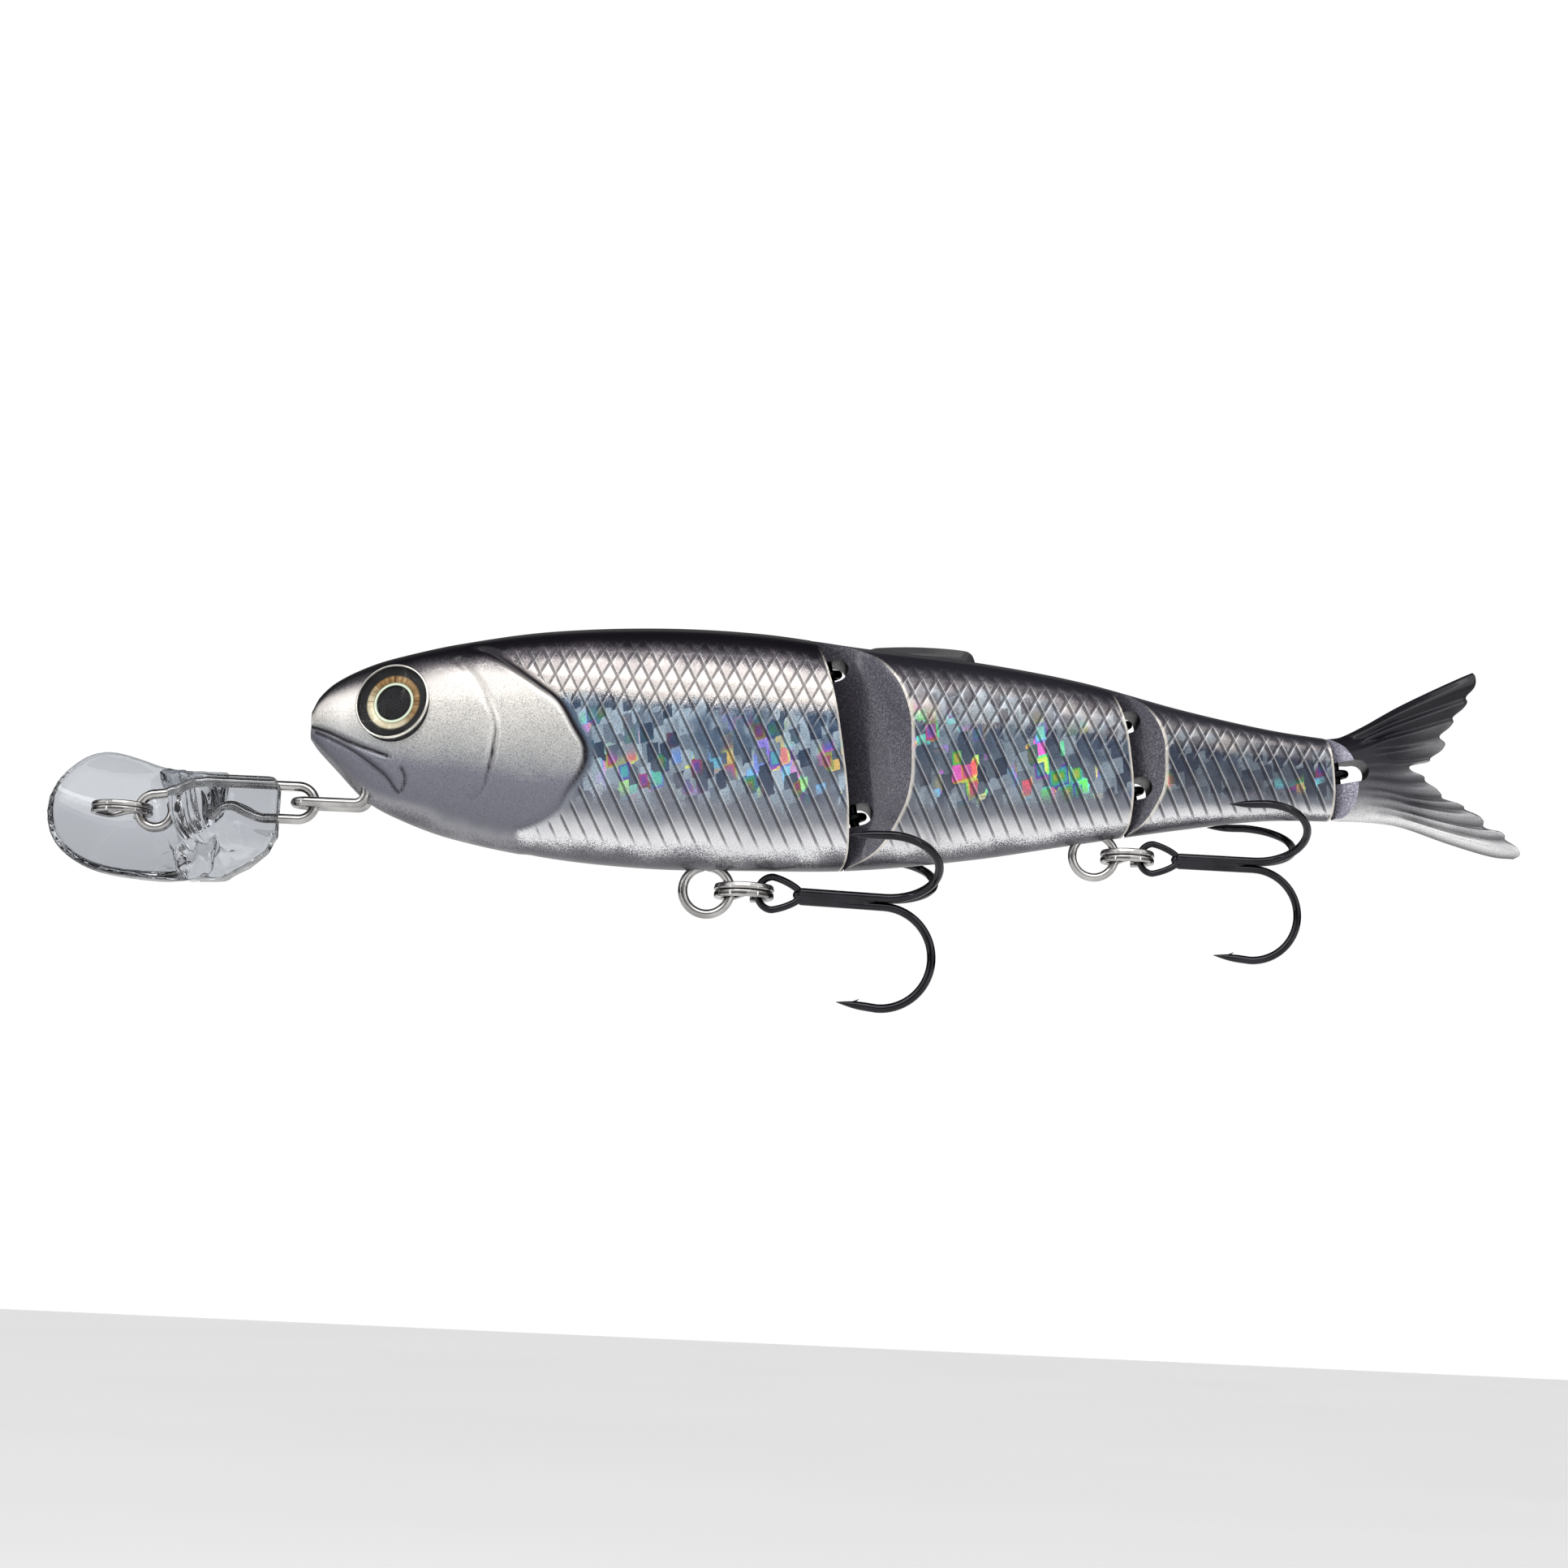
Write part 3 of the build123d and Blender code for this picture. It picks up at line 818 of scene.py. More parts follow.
@dataclass(frozen=True)
class FinPaint:
    """Fin colour from black above to pale silver below, or all dark."""

    name: str
    dark_only: bool = False

    def build(self) -> Material:
        """Make the material.

        Returns:
            The fin material.
        """
        material, graph, shader = new_material(
            self.name, Coat_Weight=0.3, Coat_Roughness=0.06, Coat_IOR=1.4, Specular_IOR_Level=0.1)
        place = graph.place()
        speckle, drift = grained(graph, place, 6500.0, 140.0)
        if self.dark_only:
            colour = graph.ramp(drift, [(0.3, (0.008, 0.007, 0.009)), (0.7, (0.018, 0.016, 0.020))])
            graph.feed(shader.inputs["Metallic"], graph.between(speckle, 0.5, 0.8, 0.0, 0.3))
        else:
            fan = graph.attribute("fan")
            ray = graph.attribute("ray")
            wavy = graph.plus(fan, graph.between(drift, 0.2, 0.8, -0.06, 0.06))
            colour = graph.ramp(wavy, [
                (0.00, (0.010, 0.009, 0.012)), (0.36, (0.016, 0.015, 0.020)), (0.50, (0.055, 0.055, 0.065)),
                (0.70, (0.13, 0.13, 0.14)), (0.85, (0.36, 0.36, 0.37)), (0.95, (0.72, 0.72, 0.72))], False)
            pale_tip = graph.times(
                graph.between(graph.attribute("tip"), 0.55, 1.0), graph.between(wavy, 0.08, 0.4, 0.0, 0.5))
            colour = graph.mix(pale_tip, colour, (0.42, 0.42, 0.43))
            # Painted shade in the grooves between the fin's rays.
            colour = graph.mix(graph.times(ray, 0.75), colour, (0.012, 0.012, 0.016))
            graph.feed(shader.inputs["Metallic"], graph.between(wavy, 0.3, 0.9, 0.1, 0.6))
        speck = graph.between(speckle, 0.3, 0.7, 0.85, 1.12)
        graph.drive(
            shader,
            Base_Color=graph.dimmed(colour, speck),
            Roughness=graph.between(speckle, 0.3, 0.7, 0.25, 0.4),
            Normal=graph.bump(speckle, 0.12, 0.00004))
        return material


@dataclass(frozen=True)
class ClearFinish:
    """Clear moulded plastic."""

    name: str
    tint: Place
    ior: float
    roughness: float

    def build(self) -> Material:
        """Make the material.

        Returns:
            The clear material.
        """
        material, graph, shader = new_material(self.name, Transmission_Weight=1.0, IOR=self.ior)
        place = graph.place()
        drift = graph.noise(place, 60.0, 2.0)
        darker = tuple(c * 0.94 for c in self.tint)
        graph.feed(shader.inputs["Base Color"], graph.mix(graph.between(drift, 0.3, 0.7), self.tint, darker))
        graph.feed(shader.inputs["Roughness"], graph.between(graph.noise(place, 400.0, 2.0), 0.3, 0.7,
                                                             self.roughness * 0.5, self.roughness * 1.6))
        graph.feed(shader.inputs["Normal"], graph.bump(drift, 0.05, 0.0002))
        return material


@dataclass(frozen=True)
class IrisFoil:
    """Gold foil with a black rim, radial streaks and a ringed pupil."""

    name: str
    pale_angle: float

    def build(self) -> Material:
        """Make the material.

        Returns:
            The iris material.
        """
        material, graph, shader = new_material(self.name, Metallic=0.3, Roughness=0.3, Specular_IOR_Level=0.15)
        radius = graph.attribute("radius")
        angle = graph.attribute("angle")
        ring = graph.node(
            "ShaderNodeCombineXYZ", X=graph.times(graph.math("COSINE", angle), 9.0),
            Y=graph.times(graph.math("SINE", angle), 9.0), Z=graph.times(radius, 0.7))
        streak = graph.noise(ring.outputs[0], 1.6, 4.0, 0.6)
        warm = graph.ramp(streak, [
            (0.30, (0.10, 0.05, 0.018)), (0.50, (0.30, 0.17, 0.06)), (0.72, (0.55, 0.40, 0.20))])
        cream = graph.mix(graph.between(streak, 0.25, 0.75), (0.50, 0.42, 0.24), (0.80, 0.75, 0.58))
        swing = graph.math("COSINE", graph.less(angle, self.pale_angle))
        gold = graph.mix(graph.between(swing, -0.3, 0.75), warm, cream)
        bands = graph.ramp(radius, [
            (0.00, (0.006, 0.006, 0.008)), (0.455, (0.004, 0.004, 0.005)), (0.47, (0.70, 0.80, 0.62)),
            (0.515, (0.70, 0.80, 0.62)), (0.53, (0.06, 0.04, 0.02)), (0.55, (0.06, 0.04, 0.02))], False)
        inner = graph.between(radius, 0.52, 0.55)
        colour = graph.mix(inner, bands, gold)
        colour = graph.mix(graph.between(radius, 0.66, 0.73), colour, (0.006, 0.006, 0.007))
        graph.drive(shader, Base_Color=colour, Normal=graph.bump(streak, 0.3, 0.0001))
        return material


@dataclass(frozen=True)
class FloorFinish:
    """Pale matt floor."""

    name: str = "pale floor"

    def build(self) -> Material:
        """Make the material.

        Returns:
            The floor material.
        """
        material, graph, shader = new_material(self.name, Roughness=0.9, Emission_Strength=0.3)
        colour = graph.ramp(graph.noise(graph.place(), 3.0), [(0.3, (0.94, 0.94, 0.94)), (0.7, (0.96, 0.96, 0.96))])
        graph.drive(shader, Base_Color=colour, Emission_Color=colour)
        return material


@dataclass
class BodyForm:
    """The painted body's shape, the same along its whole length before the hinges are cut."""

    snout: float = 25.1
    length: float = 166.0
    depth: float = 33.1
    width: float = 20.0
    axis: float = 11.6
    stations: Points = (
        (0.000, 0.095, -0.025, 0.062), (0.006, 0.155, -0.065, 0.110), (0.020, 0.222, -0.136, 0.175),
        (0.048, 0.296, -0.269, 0.265), (0.078, 0.345, -0.344, 0.350), (0.120, 0.399, -0.411, 0.425),
        (0.192, 0.465, -0.471, 0.490), (0.283, 0.502, -0.498, 0.500), (0.367, 0.499, -0.488, 0.480),
        (0.451, 0.458, -0.468, 0.455), (0.548, 0.420, -0.402, 0.385), (0.632, 0.360, -0.320, 0.320),
        (0.716, 0.263, -0.240, 0.255), (0.789, 0.196, -0.184, 0.210), (0.850, 0.163, -0.172, 0.175))
    egg: Points = ((0.44, -0.88), (0.76, -0.55), (0.90, -0.28), (0.97, 0.05), (1.0, 0.38), (0.90, 0.70), (0.62, 0.92))

    def limits(self, x: np.ndarray) -> tuple[np.ndarray, np.ndarray, np.ndarray]:
        """Top, bottom and half width at each x, smooth between stations.

        Args:
            x: places along the body, in millimetres.

        Returns:
            Three rows: top, bottom and half width.
        """
        rows = np.array(self.stations)
        share = np.clip((np.asarray(x) - self.snout) / self.length, rows[0, 0], rows[-1, 0])
        slopes = np.empty_like(rows)
        for i in range(len(rows)):
            a, b = rows[max(i - 1, 0)], rows[min(i + 1, len(rows) - 1)]
            slopes[i] = (b - a) / (b[0] - a[0])
        index = np.clip(np.searchsorted(rows[:, 0], share, side="right") - 1, 0, len(rows) - 2)
        gap = rows[index + 1, 0] - rows[index, 0]
        t = (share - rows[index, 0]) / gap
        result = []
        for column in (1, 2, 3):
            result.append(
                (2 * t**3 - 3 * t**2 + 1) * rows[index, column] + (3 * t**2 - 2 * t**3) * rows[index + 1, column]
                + (t**3 - 2 * t**2 + t) * gap * slopes[index, column]
                + (t**3 - t**2) * gap * slopes[index + 1, column])
        return self.axis + result[0] * self.depth - 0.01, self.axis + result[1] * self.depth, result[2] * self.width

    def outline(self, count: int) -> np.ndarray:
        """Unit cross-section, evenly spaced: half width share and height share.

        Args:
            count: number of points round the section.

        Returns:
            One row of two shares for each point.
        """
        right = [(0.0, -1.0), *self.egg, (0.0, 1.0)]
        left = [(-w, t) for w, t in reversed(self.egg)]
        curve = smooth_line([*right, *left], 40, closed=True)
        loop = np.vstack([curve, curve[:1]])
        scaled = loop * (self.width / 2, self.depth / 2)
        run = np.concatenate([[0], np.cumsum(np.linalg.norm(np.diff(scaled, axis=0), axis=1))])
        wanted = np.linspace(0, run[-1], count, endpoint=False)
        return np.column_stack([np.interp(wanted, run, loop[:, 0]), np.interp(wanted, run, loop[:, 1])])

    def girth(self, verts: np.ndarray) -> np.ndarray:
        """Height share of each vertex, from -1 at the belly to 1 on the back."""
        top, low, _ = self.limits(verts[:, 0])
        return np.clip((verts[:, 2] - (top + low) / 2) / ((top - low) / 2), -1, 1)


@dataclass
class Markings:
    """Engraved lines of the head and the scale pattern, seen from the side."""

    cover: Points = ((46.9, 23.6), (50.4, 22.2), (56.3, 18.4), (59.5, 16.0), (61.6, 12.8), (63.2, 10.0), (63.0, 7.4),
                     (61.1, 4.2), (59.6, 1.6), (57.1, -0.2), (54.4, -1.2))
    cheek: Points = ((45.4, 21.3), (47.8, 18.9), (49.8, 15.6), (50.9, 12.9), (50.8, 9.75), (50.2, 6.3), (49.6, 4.0),
                     (47.9, 2.5))
    mouth: Points = ((25.2, 12.4), (27.7, 11.5), (31.1, 10.0), (36.3, 8.2))
    jaw: Points = (
        (25.9, 11.6), (30.6, 9.4), (34.1, 7.2), (36.2, 5.6), (37.7, 3.7), (38.4, 3.7), (38.9, 5.2), (38.3, 6.7))
    pitch: float = SCALE_PITCH
    slope: float = SCALE_SLOPE

    def near(self, verts: np.ndarray, line: Points, width: float) -> np.ndarray:
        """How close each vertex is to a line, 1 on it and 0 beyond its width.

        Args:
            verts: vertex places in millimetres.
            line: points of the line in side view.
            width: reach of the line.

        Returns:
            Strength at each vertex.
        """
        path = smooth_line(line, 8)
        flat = verts[:, (0, 2)]
        best = np.full(len(flat), FAR)
        for a, b in zip(path[:-1], path[1:]):
            run = b - a
            t = np.clip(((flat - a) @ run) / (run @ run), 0, 1)
            best = np.minimum(best, np.linalg.norm(flat - a - t[:, None] * run, axis=1))
        return np.clip(1 - best / width, 0, 1)

    def behind(self, verts: np.ndarray, line: Points, soft: float) -> np.ndarray:
        """1 behind a line that runs down the head, 0 in front of it.

        Args:
            verts: vertex places in millimetres.
            line: points of the line in side view.
            soft: width of the change.

        Returns:
            Share at each vertex.
        """
        path = smooth_line(line, 8)
        path = path[np.argsort(path[:, 1])]
        edge = np.interp(verts[:, 2], path[:, 1], path[:, 0], left=path[0, 0], right=path[-1, 0])
        return np.clip((verts[:, 0] - edge) / soft + 0.5, 0, 1)

    def scales(self, verts: np.ndarray, girth: np.ndarray) -> np.ndarray:
        """Where scales are engraved, 0 to 1."""
        band = np.clip((0.82 - girth) / 0.12, 0, 1) * np.clip((girth + 0.88) / 0.10, 0, 1)
        return band * self.behind(verts - (1.2, 0, 0), self.cover, 0.6)

    def grooves(self, verts: np.ndarray, girth: np.ndarray) -> np.ndarray:
        """Depth of the scale grooves, 0 to 1.

        Args:
            verts: vertex places in millimetres.
            girth: height share of each vertex.

        Returns:
            Depth at each vertex.
        """
        angle = math.radians(self.slope)
        across, rise = verts[:, 0] * math.sin(angle), verts[:, 2] * math.cos(angle)
        depth = np.zeros(len(verts))
        for sign, strength in ((1, np.ones(len(verts))), (-1, np.clip((girth - 0.05) / 0.2, 0, 1))):
            share = np.mod((across + sign * rise) / self.pitch, 1.0)
            away = (0.5 - np.abs(share - 0.5)) * self.pitch
            depth = np.maximum(depth, np.clip(1 - away / 0.42, 0, 1) * strength)
        return depth


@dataclass
class Pivots:
    """The joints of the frame, read in millimetres and degrees."""

    joints: list[dict]

    def find(self, name: str) -> dict:
        """The joint of this name."""
        return next(joint for joint in self.joints if joint["name"] == name)

    def place(self, name: str) -> Place:
        """Where the joint turns, at rest."""
        x, y, z = (v / MM for v in self.find(name)["pos_m"])
        return x, y, z

    def rake(self, name: str) -> float:
        """How far the joint's axis leans forward of upright."""
        axis = self.find(name)["axis"]
        return math.degrees(math.atan2(-axis[0], axis[2]))


@dataclass
class Hinge:
    """One vertical hinge: where its pin stands and how the faces round it are cut."""

    pin_x: float
    pin_z: float
    rake: float
    nose: float
    flare: float
    slots: tuple[float, ...]
    slot_back: float
    bevel: float = 31.0
    gap: float = 0.45
    slot_height: float = 3.0

    @classmethod
    def at(
        cls, pivots: Pivots, joint: str, loops: tuple[str, ...], nose: float, flare: float, slot_back: float
    ) -> "Hinge":
        """Hinge on a joint of the frame, with a slot at the level of each wire loop.

        Args:
            pivots: The joints of the frame.
            joint: Name of the joint.
            loops: Nodes of the wire loops round the pin.
            nose: Radius of the rounded face.
            flare: Half angle of the open wedge.
            slot_back: How far the slots run behind the pin.

        Returns:
            The hinge.
        """
        x, _, z = pivots.place(joint)
        rake = pivots.rake(joint)
        turn = math.radians(rake)
        reach = LOOP_RADIUS * math.sin(turn) + LOOP_WIRE
        levels = tuple((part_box(node)[1].z / MM - z - reach) / math.cos(turn) for node in loops)
        return cls(x, z, rake, nose, flare, levels, slot_back)

    def matrix(self) -> np.ndarray:
        """Turn from the pin's own frame."""
        r = math.radians(self.rake)
        return np.array([[math.cos(r), 0, -math.sin(r)], [0, 1, 0], [math.sin(r), 0, math.cos(r)]])

    def world(self, local: np.ndarray) -> np.ndarray:
        """Points from the pin's frame to the model's."""
        return np.asarray(local) @ self.matrix().T + (self.pin_x, 0, self.pin_z)

    def prism(self, radius: float, angle: float, finish: Material) -> Object:
        """Round-nosed wedge open towards the tail.

        Args:
            radius: radius of the nose.
            angle: half angle of the opening.
            finish: material of the cut faces.

        Returns:
            The cutter.
        """
        a = math.radians(angle)
        round_part = arc((0.0, 0.0), radius, 90 + angle, 270 - angle, 25)
        reach = 60.0
        far = (round_part[0][0] + reach * math.cos(a), round_part[0][1] + reach * math.sin(a))
        outline = [(133.0, far[1]), far, *round_part, (far[0], -far[1]), (133.0, -far[1])]
        count = len(outline)
        verts = np.array([(x, y, z) for z in (-50.0, 50.0) for x, y in outline])
        faces = drum_faces(2, count)
        return painted(solid("prism", self.world(verts), faces), finish)

    def slot(self, level: float, finish: Material) -> Object:
        """Obround slot through a nose.

        Args:
            level: height of the slot.
            finish: material of the cut faces.

        Returns:
            The cutter.
        """
        half = self.slot_height / 2
        end = self.slot_back - half
        ring = [(-7.0, -half), *arc((end, 0.0), half, -90, 90, 17), (-7.0, half)]
        count = len(ring)
        verts = np.array([(x, y, level + z) for y in (-30.0, 30.0) for x, z in ring])
        faces = drum_faces(2, count)
        return painted(solid("slot", self.world(verts), faces), finish)

    def away(self, verts: np.ndarray) -> np.ndarray:
        """Millimetres from each vertex to the nearer of the hinge's two cut faces.

        Args:
            verts: vertex places in millimetres.

        Returns:
            Distance at each vertex.
        """
        local = (verts - (self.pin_x, 0, self.pin_z)) @ self.matrix()
        nearest = np.full(len(verts), FAR)
        for radius, angle in ((self.nose, self.bevel), (self.nose + self.gap, self.flare)):
            a = math.radians(angle)
            depth = np.abs(local[:, 1]) * math.cos(a) - local[:, 0] * math.sin(a) - radius
            nearest = np.minimum(nearest, np.abs(depth))
        return nearest

    def edge(self) -> tuple[float, float, float, float, float]:
        """The nose bevel, as the painted highlight line along its edge takes it."""
        return (self.pin_x, self.pin_z, self.rake, self.bevel, self.nose)

    def rear_edge(self) -> tuple[float, float, float, float, float]:
        """The groove face of the piece in front, as the painted highlight line along its edge takes it."""
        return (self.pin_x, self.pin_z, self.rake, self.flare, self.nose + self.gap)


@dataclass
class Hinges:
    """The three hinges of the body, each standing where the frame has its joint."""

    pivots: Pivots
    front: Hinge = field(init=False)
    rear: Hinge = field(init=False)
    fin: Hinge = field(init=False)

    def __post_init__(self) -> None:
        """Place the three hinges."""
        front, rear = (tuple(f"{end}_hinge_eye_{level}" for level in ("lower", "upper")) for end in ("front", "rear"))
        self.front = Hinge.at(self.pivots, "front_hinge", front, 2.5, 72.0, 2.5)
        self.rear = Hinge.at(self.pivots, "rear_hinge", rear, 2.0, 62.0, 2.5)
        self.fin = Hinge.at(self.pivots, "fin_hinge", ("tail_eye",), 1.3, 72.0, 4.2)


@dataclass
class Eye:
    """One eye's place: its socket, foil and dome."""

    side: int
    node: str
    normal: Place = (-0.29, 0.944, 0.157)
    radius: float = 5.35
    floor: float = 5.6
    foil_height: float = 0.8
    dome_height: float = 2.45

    def frame(self) -> tuple[np.ndarray, np.ndarray]:
        """Origin and a turn whose third column looks out of the eye.

        Returns:
            The origin and the turn.
        """
        n = np.array((self.normal[0], self.normal[1] * self.side, self.normal[2]))
        n /= np.linalg.norm(n)
        u = np.cross((0, 0, 1), n)
        u /= np.linalg.norm(u)
        middle = np.array(centre(self.node))
        root = middle - n * (middle[1] / n[1])
        return root, np.column_stack([u, np.cross(n, u), n])

    def lathe(self, name: str, profile: Points, sides: int = 96) -> Object:
        """Turn a profile of radius and height about the eye's axis.

        Args:
            name: name of the piece.
            profile: points of radius and height.
            sides: number of sides.

        Returns:
            The turned piece.
        """
        origin, turn = self.frame()
        angles = np.linspace(0, 2 * math.pi, sides, endpoint=False)
        rows = [np.column_stack([r * np.cos(angles), r * np.sin(angles), np.full(sides, h)]) for r, h in profile]
        return solid(name, np.vstack(rows) @ turn.T + origin, drum_faces(len(rows), sides), 35)

    def socket(self, finish: Material) -> Object:
        """Cutter for the socket."""
        return painted(self.lathe("socket", ((self.radius, self.floor), (self.radius, self.floor + 8))), finish)

    def build(
        self, foil: Material, dome: Material, rim: Material
    ) -> list[tuple[Object, str]]:
        """Make the foil disc, the dome and the bright rim.

        Args:
            foil: iris material.
            dome: clear material.
            rim: rim material.

        Returns:
            Each piece with the node it replaces, if any.
        """
        label = "left" if self.side < 0 else "right"
        low = self.floor
        steps = []
        for share in np.arange(1, 25) / 24:
            sunk = 0.35 if share < 0.45 else 0.15 if share < 0.55 else 0.0
            steps.append((self.radius * share, low + self.foil_height - sunk))
        profile = [(0.02, low + 0.02), (self.radius * 0.98, low + 0.02), *reversed(steps), (0.02, low + 0.45)]
        iris = painted(self.lathe("iris_foil_" + label, profile), foil)
        origin, turn = self.frame()
        local = (co_mm(iris) - origin) @ turn
        floats(iris, "radius", np.hypot(local[:, 0], local[:, 1]) / self.radius)
        floats(iris, "angle", np.arctan2(local[:, 1], local[:, 0]))
        base, outer = low + self.foil_height + 0.04, self.radius * 0.985
        shoulder, top = base + 0.45, low + self.dome_height
        line = [(outer * math.cos(t), shoulder + (top - shoulder) * math.sin(t))
                for t in np.linspace(0, math.pi / 2 * 0.985, 20)]
        profile = [(0.02, base), (outer * 0.97, base), (outer, base + 0.1), *line]
        lens = painted(self.lathe("eye_dome_" + label, profile), dome)
        circle = arc((0, 0), self.radius - 0.2, 0, 360, 97)[:-1]
        ring = [origin + turn @ np.array((x, y, low + 1.42)) for x, y in circle]
        bezel = painted(tube("eye_rim_" + label, np.array(ring), 0.19, closed=True, sides=14), rim)
        return [(iris, "iris_" + label), (lens, "eye_lens_" + label), (bezel, "")]


@dataclass
class Body:
    """The three painted sections."""

    form: BodyForm
    marks: Markings
    hinges: Hinges
    spacing: float = 0.36

    def skin(self, name: str, start: float, end: float, count: int) -> Object:
        """Closed skin from one x to another, with its engraving pressed in.

        Args:
            name: name of the piece.
            start: front end.
            end: rear end.
            count: number of rings.

        Returns:
            The skin.
        """
        xs = np.arange(start, end, self.spacing)
        if start <= self.form.snout + 0.1:
            fine = self.form.snout + np.array((0.0, 0.06, 0.15, 0.26, 0.42, 0.62, 0.85))
            xs = np.concatenate([fine, np.arange(fine[-1] + 0.25, end, self.spacing)])
        top, low, half = self.form.limits(xs)
        unit = self.form.outline(count)
        rows = [np.column_stack([np.full(count, x), unit[:, 0] * w, (a + b) / 2 + unit[:, 1] * (a - b) / 2])
                for x, a, b, w in zip(xs, top, low, half)]
        verts = np.vstack(rows)
        girth = self.form.girth(verts)
        cover_side = self.flank(girth)
        clear = np.ones(len(verts))
        for hinge in (self.hinges.front, self.hinges.rear, self.hinges.fin):
            clear = np.minimum(clear, np.clip(hinge.away(verts) / 0.7 - 0.3, 0, 1))
        depth = 0.17 * self.marks.grooves(verts, girth) * self.marks.scales(verts, girth) * clear
        depth = np.maximum(depth, 0.55 * self.marks.near(verts, self.marks.cover, 0.75) * cover_side)
        bulge = self.bulge(verts)
        depth = np.maximum(depth, (0.22 + 0.38 * bulge) * self.marks.near(verts, self.marks.cheek, 0.8))
        depth = np.maximum(depth, 0.50 * self.marks.near(verts, self.marks.mouth, 0.7))
        depth = np.maximum(depth, 0.35 * self.marks.near(verts, self.marks.jaw, 0.6))
        plate = self.marks.behind(verts, self.marks.cover, 3.0)
        fade = np.exp(-np.clip(self.distance_behind(verts), 0, 50) / 4.0)
        depth += 0.22 * np.clip(plate * 2 - 1, 0, 1) * fade * cover_side
        middle, tall = np.repeat((top + low) / 2, count), np.repeat((top - low) / 2, count)
        out = np.column_stack([
            np.zeros(len(verts)), verts[:, 1] / np.repeat(half, count) ** 2, (verts[:, 2] - middle) / tall**2])
        out /= np.maximum(np.linalg.norm(out, axis=1), 1e-9)[:, None]
        verts = verts - out * depth[:, None]
        return solid(name, verts, drum_faces(len(xs), count), 180)

    def flank(self, girth: np.ndarray) -> np.ndarray:
        """1 on the flanks, fading to 0 over the back."""
        return np.clip((0.93 - girth) / 0.1, 0, 1)

    def bulge(self, verts: np.ndarray) -> np.ndarray:
        """How strongly the cheek crease shows at each height."""
        return np.exp(-(((verts[:, 2] - 9.0) / 4.5) ** 2))

    def distance_behind(self, verts: np.ndarray) -> np.ndarray:
        """How far behind the gill cover each vertex is.

        Args:
            verts: vertex places in millimetres.

        Returns:
            Distance at each vertex.
        """
        path = np.array(self.marks.cover)
        path = path[np.argsort(path[:, 1])]
        return verts[:, 0] - np.interp(verts[:, 2], path[:, 1], path[:, 0])

    def dress(self, obj: Object) -> None:
        """Store the numbers that the paint reads.

        Args:
            obj: finished skin.
        """
        verts = co_mm(obj)
        girth = self.form.girth(verts)
        side = self.flank(girth)
        floats(obj, "girth", girth)
        floats(obj, "scales", self.marks.scales(verts, girth))
        floats(obj, "gill", 1 - self.marks.behind(verts, self.marks.cover, 0.6))
        # Painted shade in the head's creases: dark lines along the gill cover, cheek, mouth and jaw, stronger higher
        # up on the cover and where the cheek crease is deepest.
        strength = 0.42 + 0.58 * np.clip((verts[:, 2] - 1) / 8, 0, 1)
        line = self.marks.near(verts, self.marks.cover, 0.95) * side * strength
        bulge = self.bulge(verts)
        creases = ((self.marks.cheek, 0.40 + 0.5 * bulge), (self.marks.mouth, 1.0), (self.marks.jaw, 0.8))
        for path, strength in creases:
            line = np.maximum(line, strength * self.marks.near(verts, path, 0.55))
        floats(obj, "line", line)
        shade(obj, 48)

    def shaped(
        self, name: str, span: tuple[float, float, int], ahead: Hinge | None, behind: Hinge,
        finishes: tuple[Material, Material, Material]
    ) -> Object:
        """Skin of one section with its nose, groove and slots cut.

        Args:
            name: Name of the section.
            span: First x, last x and points round the girth.
            ahead: The hinge in front, or None for the head.
            behind: The hinge behind.
            finishes: Paint, bevel and the slot finish, which is near-black painted shade.

        Returns:
            The section.
        """
        paint, bevel, dark = finishes
        made = painted(self.skin(name + "_skin", *span), paint)
        if ahead:
            cut(made, ahead.prism(ahead.nose, ahead.bevel, bevel), Cut.KEEP)
        cut(made, behind.prism(behind.nose + behind.gap, behind.flare, dark), Cut.REMOVE)
        for level in ahead.slots if ahead else ():
            cut(made, ahead.slot(level, dark), Cut.REMOVE)
        return made

    def build(
        self, paint: dict[str, Material], bevel: Material, dark: Material,
        eyes: Sequence[Eye]
    ) -> dict[str, Object]:
        """Make the head, middle and tail skins.

        Args:
            paint: flank material.
            bevel: material of the hinge bevels.
            dark: material inside the cuts, near black as painted shade.
            eyes: eyes to seat in the head.

        Returns:
            Each skin by the name of its body.
        """
        hinges = self.hinges
        spans = {"head": (self.form.snout, 104.0, 250), "middle": (88.0, 143.0, 220), "tail": (129.0, 166.1, 170)}
        ends = {
            "head": (None, hinges.front), "middle": (hinges.front, hinges.rear), "tail": (hinges.rear, hinges.fin)}
        made = {
            name: self.shaped(name, span, *ends[name], (paint[name], bevel, dark)) for name, span in spans.items()}
        for eye in eyes:
            cut(made["head"], eye.socket(dark), Cut.REMOVE)
        for obj in made.values():
            self.dress(obj)
        return made


